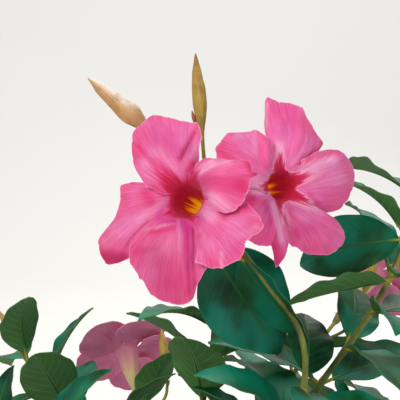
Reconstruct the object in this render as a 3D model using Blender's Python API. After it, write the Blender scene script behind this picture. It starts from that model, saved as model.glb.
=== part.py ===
"""A potted dipladenia (Mandevilla): pot, soil, leafy stems, pink blooms and buds.

The origin is the middle of the pot's underside, +Z is up and the front of the plant faces -Y. The
front spray has two open blooms whose petals have outlines measured in a front view, from EYE towards
FOCUS. All other blooms repeat one regular petal, and leaves are set along the stems by a seeded rule
that turns or shortens a leaf until it clears everything placed before it.
"""
import math
from dataclasses import dataclass, field

import bmesh
import bpy
import numpy as np
from mathutils.bvhtree import BVHTree

MM = 0.001
GAP = 0.3 * MM
BLADE = 0.8 * MM

# Pot and soil
POT_SIDES = 24
POT_HEIGHT = 138 * MM
POT_FOOT_RADIUS = 56 * MM
POT_RIM_RADIUS = 82 * MM
POT_WALL = 5 * MM
POT_FLOOR = 6 * MM
POT_COLLAR_HEIGHT = 24 * MM
POT_COLLAR_STEP = 4 * MM
DRAIN_HOLES = 5
DRAIN_RADIUS = 5 * MM
DRAIN_RING = 29 * MM
SOIL_TOP = 122 * MM
SOIL_RELIEF = 1.6 * MM
SOCKET_DEPTH = 22 * MM
FOOT_TOP = SOIL_TOP + 6 * MM

# Stems, leaves and buds
STEM_SIDES = 5
STEM_ROOT_RADIUS = 2.6 * MM
STEM_TIP_RADIUS = 1.3 * MM
PEDICEL_RADIUS = 1.1 * MM
STEM_POINTS = 9
SHOOT_POINTS = 5
NODE_SPACING = 28 * MM
FIRST_NODE = 20 * MM
PETIOLE = 9 * MM
LEAF_LENGTH = 74 * MM
LEAF_SLENDERNESS = 0.53
LEAF_CLEARANCE = 3.2 * MM
STALK_CLEARANCE = 2 * MM
LOWEST_LEAF = 30 * MM
STEM_EXIT = 0.45
PETIOLE_TEST = 0.62
LEAF_ATTEMPTS = 30
LEAF_LEAN = (12, 58)
LEAF_DROOP = (0.5, 1.0)
FLAT = math.radians(0.4)
SHARP = math.radians(40)
LEAF_ROWS = (0.22, 0.52, 0.8)
BUD_SIDES = 7
# A bud's outline: parts of its length, and its radius there as a share of the greatest
SLIM_BUD = ((0, 0.3), (0.25, 0.33), (0.43, 0.8), (0.6, 1), (0.8, 0.72), (0.93, 0.34), (1, 0.08))
BULGING_BUD = ((0, 0.3), (0.2, 0.36), (0.36, 0.62), (0.5, 1), (0.68, 0.74), (0.86, 0.5), (1, 0.07))

# Blooms: the corolla's tube, its mouth and its limb of five petals
TUBE_LENGTH = 50 * MM
MOUTH_RADIUS = 8.8 * MM
LIMB_RISE = 6 * MM
LIMB_RADIUS = 42 * MM
FLARE_REACH = 6 * MM
RIM_PASSES = 5
PETAL_SLOT = 72
SEAM = 1.2
SHOULDER = 0.13
SHOULDER_RADIUS = 13 * MM
MEASURED_PARTS = (SHOULDER, 0.42, 0.72, 1.0)
MEASURED_COLUMNS = 9
PLAIN_PARTS = (SHOULDER, 0.55, 1.0)
PLAIN_COLUMNS = 5
# The tube's rings: radius, depth below the mouth as a share of its length, and sides
TUBE_RINGS = ((1.5 * MM, 1.0, 10), (1.9 * MM, 0.7, 10), (4.6 * MM, 0.46, 10), (7.0 * MM, 0.22, 10),
              (MOUTH_RADIUS, 0.0, 20))

# Where side shoots leave the spray's stem, as distances back from its end
RIGHT_BLOOM_FORK = 13 * MM
RACHIS_FORK = 19 * MM
HAND_LEAVES_NODE = 32 * MM

# The front view in which the spray was measured
FRONT = np.array((0.0, -0.9903, 0.1392))
RIGHT = np.array((1.0, 0.0, 0.0))
RISE = np.cross(FRONT, RIGHT)
FOCUS = np.array((12.0, -100.0, 375.0)) * MM
VIEW_DISTANCE = 600 * MM
EYE = FOCUS + VIEW_DISTANCE * FRONT
CLEAR_HALF_WIDTH = 66 * MM
CLEAR_HALF_HEIGHT = 53 * MM

SEED = 11
UP = np.array((0.0, 0.0, 1.0))


@dataclass(frozen=True)
class Petal:
    """A petal: its outline in mm from the mouth's centre, anticlockwise, and its relief in mm.

    The relief is how far the rim curls back, how high the middle arches, and how far the first
    and the last edge are lifted.
    """

    outline: tuple
    curl: float
    arch: float
    lifts: tuple


@dataclass(frozen=True)
class Bloom:
    """A corolla: mouth centre, axis out of the throat, turn of its first petal, and its petals."""

    name: str
    mouth: np.ndarray
    axis: np.ndarray
    first_slot: float
    petals: tuple
    measured: bool
    scale: float = 1.0


@dataclass(frozen=True)
class Bud:
    """A closed bud: base, direction, length, greatest radius, colour and outline."""

    name: str
    base: np.ndarray
    axis: np.ndarray
    length: float
    radius: float
    colour: str
    outline: tuple = SLIM_BUD


@dataclass
class Stem:
    """A leafy stem: its path from the soil to its tip, side shoots, and leaves set by hand."""

    name: str
    path: np.ndarray
    shoots: list = field(default_factory=list)
    leaves: list = field(default_factory=list)
    leafy_to: float = 1.0
    first_turn: float = 0.0
    solver: str = "EXACT"


@dataclass(frozen=True)
class Leaf:
    """A leaf: root in the stem, blade start, heading, facing, size and curvature of its midrib."""

    root: np.ndarray
    start: np.ndarray
    heading: np.ndarray
    facing: np.ndarray
    length: float
    width: float
    droop: float
    fold: float = 0.22


def unit(vector):
    """Return the vector at length one."""
    vector = np.asarray(vector, dtype=float)
    return vector / np.linalg.norm(vector)


def seen(x, y, depth):
    """Return the point seen at x, y mm from FOCUS in the front view, depth mm behind FOCUS."""
    spread = 1.0 + depth * MM / VIEW_DISTANCE
    return FOCUS + (RIGHT * x + RISE * y) * MM * spread - FRONT * depth * MM


def view_direction(x, y, out):
    """Return the unit vector with parts to the right, up and towards the viewer."""
    return unit(RIGHT * x + RISE * y + FRONT * out)


def smooth_curve(points, positions):
    """Return points on the Catmull-Rom curve through the given points, spaced by chord length."""
    points = np.asarray(points, dtype=float)
    padded = np.vstack([2 * points[0] - points[1], points, 2 * points[-1] - points[-2]])
    chords = np.linalg.norm(np.diff(points, axis=0), axis=1)
    knots = np.concatenate([[0.0], np.cumsum(chords)]) / chords.sum()
    positions = np.asarray(positions, dtype=float)
    span = np.clip(np.searchsorted(knots, positions, side="right") - 1, 0, len(points) - 2)
    t = ((positions - knots[span]) / (knots[span + 1] - knots[span]))[:, None]
    before, start, end, after = (padded[span + k] for k in range(4))
    return 0.5 * (2 * start + (end - before) * t
                  + (2 * before - 5 * start + 4 * end - after) * t ** 2
                  + (3 * start - before - 3 * end + after) * t ** 3)


def material(name, colour, roughness):
    """Create a Principled material from an sRGB colour given as three 0-255 values."""
    made = bpy.data.materials.new(name)
    made.use_nodes = True
    shader = made.node_tree.nodes["Principled BSDF"]
    linear = [((value / 255 + 0.055) / 1.055) ** 2.4 for value in colour]
    shader.inputs["Base Color"].default_value = (*linear, 1.0)
    shader.inputs["Roughness"].default_value = roughness
    made.diffuse_color = (*linear, 1.0)
    return made


def add_object(name, points, faces):
    """Create a mesh object from points and faces."""
    mesh = bpy.data.meshes.new(name)
    mesh.from_pydata([tuple(point) for point in points], [], faces)
    mesh.update()
    made = bpy.data.objects.new(name, mesh)
    bpy.context.collection.objects.link(made)
    return made


def grid_triangles(rows, columns, closed=False):
    """Return the triangles of a grid of points in row order, joined across its columns if closed."""
    triangles = []
    for row in range(rows - 1):
        for column in range(columns if closed else columns - 1):
            beside = (column + 1) % columns
            a = row * columns + column
            b = row * columns + beside
            c = a + columns
            d = b + columns
            triangles += [(a, b, d), (a, d, c)]
    return triangles


def tube_points(path, radii, sides):
    """Return rings of points round a path, carried along it without twist."""
    path = np.asarray(path, dtype=float)
    tangents = np.gradient(path, axis=0)
    across = np.cross(tangents[0], (0.31, 0.83, 0.47))
    turns = np.arange(sides) * 2 * math.pi / sides
    rings = []
    for point, tangent, radius in zip(path, tangents, radii):
        tangent = unit(tangent)
        across = unit(across - tangent * across.dot(tangent))
        other = np.cross(tangent, across)
        rings.append(point + radius * (np.outer(np.cos(turns), across) + np.outer(np.sin(turns), other)))
    return np.array(rings)


def tube_faces(rings, sides):
    """Return the faces of a tube of rings whose two ends are capped, pointing out."""
    faces = grid_triangles(rings, sides, closed=True)
    faces.append(tuple(reversed(range(sides))))
    faces.append(tuple((rings - 1) * sides + side for side in range(sides)))
    return faces


def shell(points, triangles, rim, thickness):
    """Return points and triangles of the closed blade whose middle surface is given.

    Both faces carry the same triangles. The rim lists the border's points in order, with the
    surface on its left when seen from the front.
    """
    points = np.asarray(points, dtype=float)
    corners = np.array(triangles)
    edge_a = points[corners[:, 1]] - points[corners[:, 0]]
    edge_b = points[corners[:, 2]] - points[corners[:, 0]]
    face_normals = np.cross(edge_a, edge_b)
    normals = np.zeros_like(points)
    for corner in range(3):
        np.add.at(normals, corners[:, corner], face_normals)
    normals /= np.linalg.norm(normals, axis=1)[:, None]
    count = len(points)
    both = np.vstack([points + normals * thickness / 2, points - normals * thickness / 2])
    faces = list(triangles)
    faces += [(a + count, c + count, b + count) for a, b, c in triangles]
    for a, b in zip(rim, rim[1:] + rim[:1]):
        faces += [(a, a + count, b + count), (a, b + count, b)]
    return both, faces


def fuse(name, pieces, look, solver="EXACT"):
    """Join closed pieces into one solid by a Boolean union on a collection of them."""
    others = bpy.data.collections.new(name + "_pieces")
    bpy.context.scene.collection.children.link(others)
    first = add_object(name + "_base", *pieces[0])
    for number, piece in enumerate(pieces[1:]):
        other = add_object(f"{name}_{number}", *piece)
        bpy.context.collection.objects.unlink(other)
        others.objects.link(other)
    union = first.modifiers.new("union", "BOOLEAN")
    union.operation = "UNION"
    union.operand_type = "COLLECTION"
    union.collection = others
    union.solver = solver
    return finish_boolean(name, first, list(others.objects), look, others)


def finish_boolean(name, source, cutters, look, collection=None):
    """Apply the source's Boolean, remove what it used, and return the finished object."""
    graph = bpy.context.evaluated_depsgraph_get()
    mesh = bpy.data.meshes.new_from_object(source.evaluated_get(graph))
    mesh.name = name
    clean = bmesh.new()
    clean.from_mesh(mesh)
    bmesh.ops.dissolve_limit(clean, angle_limit=FLAT, verts=clean.verts, edges=clean.edges)
    clean.to_mesh(mesh)
    clean.free()
    for used in cutters + [source]:
        bpy.data.objects.remove(used)
    if collection is not None:
        bpy.data.collections.remove(collection)
    made = bpy.data.objects.new(name, mesh)
    bpy.context.collection.objects.link(made)
    return dress(made, look)


def dress(made, look):
    """Give an object its material and smooth shading with its sharp edges kept."""
    made.data.materials.clear()
    made.data.materials.append(look)
    made.data.shade_smooth()
    made.data.set_sharp_from_angle(angle=SHARP)
    return made


def turned(profile, sides):
    """Return points and faces of a solid turned about Z from a closed profile of (radius, z)."""
    turns = np.arange(sides) * 2 * math.pi / sides
    points = []
    rings = []
    for radius, z in profile:
        if radius == 0:
            rings.append([len(points)] * sides)
            points.append((0.0, 0.0, z))
        else:
            rings.append(list(range(len(points), len(points) + sides)))
            points += [(radius * math.cos(turn), radius * math.sin(turn), z) for turn in turns]
    faces = []
    for lower, upper in zip(rings, rings[1:]):
        for side in range(sides):
            beside = (side + 1) % sides
            corners = (lower[side], lower[beside], upper[beside], upper[side])
            face = tuple(dict.fromkeys(corners))
            if len(face) > 2:
                faces.append(face)
    return np.array(points), faces


def cut(name, solid, cutters, look):
    """Cut closed pieces out of a solid and return the finished object."""
    holes = bpy.data.collections.new(name + "_holes")
    bpy.context.scene.collection.children.link(holes)
    source = add_object(name + "_blank", *solid)
    for number, cutter in enumerate(cutters):
        hole = add_object(f"{name}_hole_{number}", *cutter)
        hole.hide_render = True
        hole.display_type = "WIRE"
        bpy.context.collection.objects.unlink(hole)
        holes.objects.link(hole)
    difference = source.modifiers.new("holes", "BOOLEAN")
    difference.operation = "DIFFERENCE"
    difference.operand_type = "COLLECTION"
    difference.collection = holes
    difference.solver = "EXACT"
    return finish_boolean(name, source, list(holes.objects), look, holes)


def cylinder(x, y, bottom, top, radius, sides):
    """Return points and faces of an upright cylinder."""
    points, faces = turned(((0, bottom), (radius, bottom), (radius, top), (0, top)), sides)
    return points + np.array((x, y, 0.0)), faces


def pot_radius(z):
    """Return the outer radius of the pot's tapered wall at a height."""
    wall_top = POT_RIM_RADIUS - POT_COLLAR_STEP
    return POT_FOOT_RADIUS + (wall_top - POT_FOOT_RADIUS) * z / POT_HEIGHT


def build_pot(look):
    """Build the plain tapered pot with a collar round its rim and drainage holes in its floor."""
    collar = POT_HEIGHT - POT_COLLAR_HEIGHT
    soft = 1.5 * MM
    profile = (
        (0, 0), (POT_FOOT_RADIUS - soft, 0), (POT_FOOT_RADIUS, soft),
        (pot_radius(collar), collar), (pot_radius(collar) + POT_COLLAR_STEP, collar + soft),
        (POT_RIM_RADIUS, POT_HEIGHT - soft), (POT_RIM_RADIUS - soft, POT_HEIGHT),
        (pot_radius(POT_HEIGHT) - POT_WALL + soft, POT_HEIGHT),
        (pot_radius(POT_HEIGHT) - POT_WALL, POT_HEIGHT - soft),
        (pot_radius(POT_FLOOR) - POT_WALL, POT_FLOOR), (0, POT_FLOOR),
    )
    drains = []
    for hole in range(DRAIN_HOLES):
        turn = 2 * math.pi * hole / DRAIN_HOLES
        x, y = DRAIN_RING * math.cos(turn), DRAIN_RING * math.sin(turn)
        drains.append(cylinder(x, y, -POT_FLOOR, 2 * POT_FLOOR, DRAIN_RADIUS, 8))
    return cut("pot", turned(profile, POT_SIDES), drains, look)


def build_soil(feet, look):
    """Build the soil, uneven on top, with a plain socket for each stem's foot."""
    bottom = POT_FLOOR + GAP
    inset = POT_WALL + 2 * GAP
    edge = pot_radius(SOIL_TOP) - inset
    rings = (0, 0.33 * edge, 0.66 * edge, edge)
    profile = [(0, bottom), (pot_radius(bottom) - inset, bottom)]
    profile += [(radius, SOIL_TOP) for radius in reversed(rings)]
    points, faces = turned(profile, POT_SIDES)
    angle = np.arctan2(points[:, 1], points[:, 0])
    radius = np.hypot(points[:, 0], points[:, 1])
    relief = np.sin(3 * angle + radius * 90) + np.cos(5 * angle - radius * 140)
    inner = (points[:, 2] > SOIL_TOP - GAP) & (radius < 0.9 * edge)
    points[inner, 2] += SOIL_RELIEF * 0.5 * relief[inner] + SOIL_RELIEF
    sockets = [cylinder(x, y, SOIL_TOP - SOCKET_DEPTH, SOIL_TOP + SOCKET_DEPTH,
                        STEM_ROOT_RADIUS + 2 * GAP, 8) for x, y in feet]
    return cut("soil", (points, faces), sockets, look)


def bloom_axes(axis):
    """Return the bloom's own right and up, square to its axis, as near as can be to the view's."""
    across = unit(RIGHT - axis * axis.dot(RIGHT))
    return across, np.cross(axis, across)


def petal_height(bloom, petal, u, v, plan):
    """Return how far a petal stands above the mouth's plane at points of its plan.

    The limb flares up from the mouth and curls back towards its rim, by distance from the axis.
    Across each petal come its dome and the lifts that part its edges from the neighbours'.
    """
    radius = np.linalg.norm(plan, axis=-1) / bloom.scale
    flare = LIMB_RISE * (1 - np.exp((MOUTH_RADIUS - radius) / FLARE_REACH))
    curl = -petal.curl * MM * (radius / LIMB_RADIUS) ** 2
    dome = petal.arch * MM * np.sin(math.pi * v ** 0.8) * np.sin(math.pi * u)
    first, last = petal.lifts
    lift = (first * (1 - u) ** 1.5 + last * u ** 1.5) * MM * v ** 0.5
    return bloom.scale * (flare + curl + dome + lift)


def petal_rim(bloom, number, u):
    """Return a petal's rim in the bloom's own plane.

    A measured rim lies where the front view's rays through its outline meet the height that the
    petal has there. Any other rim is turned to its slot.
    """
    petal = bloom.petals[number]
    outline = smooth_curve(petal.outline, u) * MM
    if not bloom.measured:
        turn = math.radians(bloom.first_slot + PETAL_SLOT * number)
        spin = np.array(((math.cos(turn), math.sin(turn)), (-math.sin(turn), math.cos(turn))))
        return bloom.scale * outline.dot(spin)
    across, along = bloom_axes(bloom.axis)
    away = bloom.mouth - EYE
    centre = away * VIEW_DISTANCE / -away.dot(FRONT)
    rays = centre + np.outer(outline[:, 0], RIGHT) + np.outer(outline[:, 1], RISE)
    rim = outline
    for _ in range(RIM_PASSES):
        heights = petal_height(bloom, petal, u, 1.0, rim)
        reach = (heights + away.dot(bloom.axis)) / rays.dot(bloom.axis)
        offset = rays * reach[:, None] - away
        rim = np.column_stack([offset.dot(across), offset.dot(along)])
    return rim


def petal_rows(bloom, number, u, v):
    """Return rows of a petal's middle surface from its shoulder, at v = SHOULDER, to its rim at 1.

    Each column runs straight in plan from the shoulder, which fills the petal's slot round the
    mouth, to the rim.
    """
    across, along = bloom_axes(bloom.axis)
    slot = bloom.first_slot + PETAL_SLOT * number
    turn = np.radians(slot + (PETAL_SLOT / 2 - SEAM) * (2 * u - 1))
    shoulder = SHOULDER_RADIUS * bloom.scale * np.column_stack([np.cos(turn), np.sin(turn)])
    v = np.asarray(v, dtype=float)[:, None]
    outward = ((v - SHOULDER) / (1 - SHOULDER))[:, :, None]
    plan = shoulder * (1 - outward) + petal_rim(bloom, number, u) * outward
    heights = petal_height(bloom, bloom.petals[number], u, v, plan)
    return (bloom.mouth + plan[:, :, :1] * across + plan[:, :, 1:] * along
            + heights[:, :, None] * bloom.axis)


def bridge(lower, upper):
    """Return the triangles between two rows of points, the upper one as fine or twice as fine."""
    triangles = []
    for number, (a, b) in enumerate(zip(lower, lower[1:])):
        if len(upper) == len(lower):
            c, d = upper[number:number + 2]
            triangles += [(a, b, d), (a, d, c)]
        else:
            c, d, e = upper[2 * number:2 * number + 3]
            triangles += [(a, b, d), (a, d, c), (b, e, d)]
    return triangles


def corolla_sheet(bloom):
    """Return a corolla's middle surface, a deep cup with five petals: points, triangles, border."""
    parts = MEASURED_PARTS if bloom.measured else PLAIN_PARTS
    columns = MEASURED_COLUMNS if bloom.measured else PLAIN_COLUMNS
    across, along = bloom_axes(bloom.axis)
    size = bloom.scale
    start = bloom.first_slot - PETAL_SLOT / 2
    points = [bloom.mouth - bloom.axis * (TUBE_LENGTH - BLADE / 2)]
    triangles = []
    below = None
    for radius, depth, sides in TUBE_RINGS:
        turns = np.radians(start + np.arange(sides) * 360 / sides)
        ring = list(range(len(points), len(points) + sides)) + [len(points)]
        spokes = np.outer(np.cos(turns), across) + np.outer(np.sin(turns), along)
        sunk = (TUBE_LENGTH - BLADE / 2) * depth
        points += list(bloom.mouth + size * radius * spokes - bloom.axis * sunk)
        triangles += [(0, b, a) for a, b in zip(ring, ring[1:])] if below is None else bridge(below, ring)
        below = ring
    border = []
    u = np.linspace(0, 1, columns)
    for number in reversed(range(len(bloom.petals))):
        rows = petal_rows(bloom, number, u, parts)
        first = len(points)
        points += list(rows.reshape(-1, 3))
        slot = (len(below) - 1) // len(bloom.petals)
        shoulder = list(range(first, first + columns))
        triangles += bridge(below[number * slot:(number + 1) * slot + 1], shoulder)
        triangles += [tuple(first + corner for corner in face)
                      for face in grid_triangles(len(parts), columns)]
        last = (len(parts) - 1) * columns
        right = [row * columns + columns - 1 for row in range(len(parts))]
        top = [last + column for column in range(columns - 2, -1, -1)]
        left = [row * columns for row in range(len(parts) - 2, -1, -1)]
        border += [first + corner for corner in right + top + left]
        border.append(below[number * slot])
    return np.array(points), triangles, border


def build_bloom(bloom, look):
    """Build a corolla as one thin blade: its tube, its throat and its five petals."""
    return dress(add_object(bloom.name, *shell(*corolla_sheet(bloom), BLADE)), look)


def build_bud(bud, look):
    """Build a closed bud: a slim tube, a spindle that swells and a drawn-out tip."""
    parts, shares = np.transpose(bud.outline)
    path = bud.base + np.outer(parts * bud.length, bud.axis)
    rings = tube_points(path, shares * bud.radius, BUD_SIDES)
    made = add_object(bud.name, rings.reshape(-1, 3), tube_faces(len(parts), BUD_SIDES))
    return dress(made, look)


def leaf_profile(part):
    """Return the half width of a leaf, from 0 to 1, at a part of its length: oval, drawn to a tip."""
    return np.sin(math.pi * part ** 0.86) ** 0.75 * (1 - 0.25 * part ** 3)


def leaf_grid(leaf, parts, columns):
    """Return a leaf's middle surface at the given parts of its length.

    The midrib is an arc that droops away from the facing side, and both halves rise from it.
    """
    facing = unit(leaf.facing - leaf.heading * leaf.facing.dot(leaf.heading))
    side = np.cross(leaf.heading, facing)
    parts = np.asarray(parts, dtype=float)[:, None]
    bend = parts * leaf.droop
    radius = leaf.length / leaf.droop
    spine = leaf.start + radius * (np.sin(bend) * leaf.heading - (1 - np.cos(bend)) * facing)
    lifted = np.cos(bend) * facing + np.sin(bend) * leaf.heading
    half = leaf.width / 2 * leaf_profile(np.clip(parts, 0.04, 0.985))
    across = np.linspace(-1, 1, columns)
    ripple = 0.05 * np.sin(parts * 9 + leaf.width * 400) * np.sign(across) * across ** 2
    rise = leaf.fold * np.abs(across) ** 1.4 + ripple
    return (spine[:, None] + (half * across)[:, :, None] * side
            + (half * rise)[:, :, None] * lifted[:, None])


def leaf_sheet(leaf):
    """Return the coarse middle surface of a leaf: points, triangles and its border.

    Its first two points are the petiole's end in the stem, its last one is the leaf's tip.
    """
    grid = leaf_grid(leaf, LEAF_ROWS, 3)
    tip = leaf_grid(leaf, (1.0,), 3)[0, 1]
    facing = unit(leaf.facing - leaf.heading * leaf.facing.dot(leaf.heading))
    side = np.cross(leaf.heading, facing) * PEDICEL_RADIUS
    stalk = [leaf.root - side, leaf.root + side, leaf.start - side, leaf.start + side]
    points = np.vstack([stalk, grid.reshape(-1, 3), [tip]])
    rows = len(LEAF_ROWS)
    triangles = [(0, 1, 3), (0, 3, 2), (2, 3, 5), (2, 5, 4), (3, 6, 5)]
    triangles += [tuple(4 + corner for corner in face) for face in grid_triangles(rows, 3)]
    last = 4 + 3 * (rows - 1)
    top = last + 3
    triangles += [(last, last + 1, top), (last + 1, last + 2, top)]
    right = [4 + 3 * row + 2 for row in range(rows)]
    left = [4 + 3 * row for row in reversed(range(rows))]
    return points, triangles, [0, 1, 3] + right + [top] + left + [2]


def point_on(path, distance):
    """Return the point and the direction of a path at a distance along it."""
    steps = np.linalg.norm(np.diff(path, axis=0), axis=1)
    along = np.concatenate([[0.0], np.cumsum(steps)])
    point = np.array([np.interp(distance, along, path[:, axis]) for axis in range(3)])
    before = np.array([np.interp(distance - 2 * MM, along, path[:, axis]) for axis in range(3)])
    after = np.array([np.interp(distance + 2 * MM, along, path[:, axis]) for axis in range(3)])
    return point, unit(after - before)


def path_length(path):
    """Return the length of a path."""
    return np.linalg.norm(np.diff(path, axis=0), axis=1).sum()


class Space:
    """Everything placed so far, against which a new leaf is tested."""

    def __init__(self):
        """Start empty."""
        self.points = []
        self.triangles = []
        self.tree = None

    def add(self, points, triangles):
        """Add a surface."""
        start = len(self.points)
        self.points += [tuple(point) for point in points]
        self.triangles += [tuple(start + corner for corner in face) for face in triangles]
        self.tree = None

    def is_clear(self, leaf):
        """Tell whether a leaf crosses nothing and its blade keeps LEAF_CLEARANCE from everything.

        The petiole is tested from where it has left its own stem.
        """
        if self.tree is None:
            self.tree = BVHTree.FromPolygons(self.points, self.triangles)
        points, triangles, _ = leaf_sheet(leaf)
        points[:2] += (leaf.start - leaf.root) * STEM_EXIT
        if self.tree.overlap(BVHTree.FromPolygons([tuple(point) for point in points], triangles)):
            return False
        petiole = leaf.root + (leaf.start - leaf.root) * PETIOLE_TEST
        if self.tree.find_nearest(tuple(petiole), STALK_CLEARANCE)[0] is not None:
            return False
        middles = [points[list(face)].mean(axis=0) for face in triangles[2:]]
        tests = list(points[2:]) + middles
        return all(self.tree.find_nearest(tuple(test), LEAF_CLEARANCE)[0] is None for test in tests)


def in_clear_view(points):
    """Tell whether any point would show beside the front spray in the front view."""
    offset = points - FOCUS
    spread = VIEW_DISTANCE / (VIEW_DISTANCE - offset.dot(FRONT))
    beside = np.abs(offset.dot(RIGHT) * spread) < CLEAR_HALF_WIDTH
    above = offset.dot(RISE) * spread > -CLEAR_HALF_HEIGHT
    return bool(np.any(beside & above))


def rule_leaf(path, distance, turn, length, rng):
    """Return one leaf of a pair, set at a turn round its stem, with small seeded variations."""
    root, tangent = point_on(path, distance)
    across = unit(np.cross(tangent, (0.35, 0.9, 0.1)))
    other = np.cross(tangent, across)
    outward = math.cos(turn) * across + math.sin(turn) * other
    lean = math.radians(rng.uniform(*LEAF_LEAN))
    heading = unit(outward * math.cos(lean) + tangent * math.sin(lean) * 0.6 + UP * 0.2)
    radial = np.array((root[0], root[1], 0.0))
    facing = UP + 0.5 * unit(radial + 1e-6) + rng.uniform(-0.2, 0.2, 3)
    width = length * LEAF_SLENDERNESS * rng.uniform(0.94, 1.08)
    droop = rng.uniform(*LEAF_DROOP)
    return Leaf(root, root + heading * PETIOLE, heading, facing, length, width, droop)


def set_leaves(stem, space, rng):
    """Set opposite pairs of leaves along a stem, each turned until it is clear of the rest."""
    total = path_length(stem.path) * stem.leafy_to
    distance = SOCKET_DEPTH + FIRST_NODE
    turn = stem.first_turn
    while distance < total:
        share = distance / total
        for opposite in (0.0, math.pi):
            for attempt in range(LEAF_ATTEMPTS):
                swing = rng.uniform(-0.07, 0.07) * attempt
                shrink = 1 - 0.4 * attempt / LEAF_ATTEMPTS
                length = LEAF_LENGTH * (1.05 - 0.3 * share ** 2) * shrink * rng.uniform(0.92, 1.06)
                leaf = rule_leaf(stem.path, distance, turn + opposite + swing, length, rng)
                points, triangles, _ = leaf_sheet(leaf)
                low = points[:, 2].min() < LOWEST_LEAF
                if low or in_clear_view(points):
                    continue
                if space.is_clear(leaf):
                    stem.leaves.append(leaf)
                    space.add(points, triangles)
                    break
        turn += math.pi / 2 + rng.uniform(-0.25, 0.25)
        distance += NODE_SPACING * (1.1 - 0.25 * share)


def foot_points(x, y):
    """Return the upright foot of a stem, from the bottom of its socket to just above the soil."""
    bottom = SOIL_TOP - SOCKET_DEPTH + GAP
    return [(x, y, bottom), (x, y, FOOT_TOP)]


def bending_path(start, start_direction, end, end_direction, count):
    """Return points on the cubic curve that leaves and arrives in the given directions."""
    start = np.asarray(start, dtype=float)
    end = np.asarray(end, dtype=float)
    reach = 0.42 * np.linalg.norm(end - start)
    leave = start + reach * unit(start_direction)
    arrive = end - reach * unit(end_direction)
    t = np.linspace(0, 1, count)[:, None]
    return ((1 - t) ** 3 * start + 3 * (1 - t) ** 2 * t * leave
            + 3 * (1 - t) * t ** 2 * arrive + t ** 3 * end)


def stem_path(foot, tip, tip_direction):
    """Return a stem's path: an upright foot, then one bend out to its tip."""
    points = foot_points(*foot)
    bend = bending_path(points[-1], UP, tip, tip_direction, STEM_POINTS)
    return np.vstack([points[:1], bend])


def bud_on(name, start, start_direction, base, axis, length, radius, colour, outline=SLIM_BUD):
    """Return a shoot's path and the bud that sits on its end, a gap away."""
    axis = unit(axis)
    path = bending_path(start, start_direction, base, axis, SHOOT_POINTS)
    return path, Bud(name, np.asarray(base) + axis * GAP, axis, length, radius, colour, outline)


def corolla_base(bloom):
    """Return the point where the corolla's tube sits on its pedicel."""
    return bloom.mouth - bloom.axis * (TUBE_LENGTH + GAP)


def spray_blooms():
    """Return the two open blooms of the front spray, with their petals as the front view shows."""
    left_petals = (
        Petal(((16, -5.5), (21.6, -6.7), (28.2, -2.6), (32.3, 5.7), (32.8, 12.1), (31.1, 19.9),
               (23.2, 20.3), (10.8, 21.6), (5.5, 18.5)), 6, 6, (4, 4)),
        Petal(((8.2, 31.9), (5.7, 38.1), (-6.2, 41.7), (-17.8, 42.7),
               (-26.8, 33.5), (-26.8, 18.5), (-20.5, 7)), 5, 3, (-2, 3)),
        Petal(((-16, 8), (-24, 8.9), (-29, 8.6), (-33.4, 6.7), (-34, -1), (-36.6, -9.3), (-44.9, -21.6),
               (-39.9, -32.6), (-28.4, -29.5), (-19, -23), (-14, -15)), 6, 2, (-3, -3)),
        Petal(((-18, -9), (-21.8, -16.6), (-28, -20.5), (-28.6, -31.4), (-23.5, -39.6),
               (-17, -48.7), (-8.2, -53.5), (2.1, -52.5), (6.1, -42.9), (11, -34), (12, -22)),
              5, 3, (2, -3)),
        Petal(((4.4, -31.4), (14.3, -35.1), (27.4, -30.6), (31.5, -21.6), (39.5, -13.4),
               (33, -3), (22, 3)), 4, 3, (2, -3)),
    )
    right_petals = (
        Petal(((20, -14), (28, -12), (34, -4), (36, 6), (33, 14), (27, 18.5), (18, 18),
               (9, 15)), 5, 3, (-3, 2)),
        Petal(((18, 19.3), (19.6, 22.1), (16.4, 27), (11.3, 35.3), (6.5, 41.4),
               (-1.7, 43), (-9, 43.8), (-10.3, 31)), 6, 3, (-3, -3)),
        Petal(((-7, 24), (-14.8, 28.3), (-28.8, 26.3), (-35, 18.8), (-33.5, 10), (-30, 0),
               (-20, -6)), 4, 3, (3, -3)),
        Petal(((-18, -2), (-22, -9), (-23, -17), (-20, -26), (-13.2, -30.8), (-6.7, -32.1),
               (-4.2, -40.7), (0, -37), (2.4, -29)), 4, 3, (3, 3)),
        Petal(((2, -29), (9, -33.7), (15.6, -35.4), (23, -35), (29, -31), (31, -25), (27, -18),
               (20, -13)), 4, 3, (-3, 2)),
    )
    left = Bloom("bloom_front_left", seen(-7.2, 0, 0), view_direction(-0.408, 0.259, 0.875),
                 36, left_petals, True)
    right = Bloom("bloom_front_right", seen(43.3, 7.2, 28), view_direction(0.468, 0.087, 0.88),
                  0, right_petals, True, 0.95)
    return left, right


def regular_petals(rng):
    """Return five like petals, each a broad blade with its corner to one side, slightly varied."""
    turns = np.radians((-48, -40, -22, -4, 14, 32, 46, 50))
    reaches = np.array((20, 31, 40, 43, 45, 41, 30, 19))
    petals = []
    for _ in range(5):
        size = rng.uniform(0.94, 1.04)
        outline = tuple(zip(size * reaches * np.cos(turns), size * reaches * np.sin(turns)))
        petals.append(Petal(outline, rng.uniform(5, 9), rng.uniform(2, 4), (-3, 3)))
    return tuple(petals)


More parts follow.
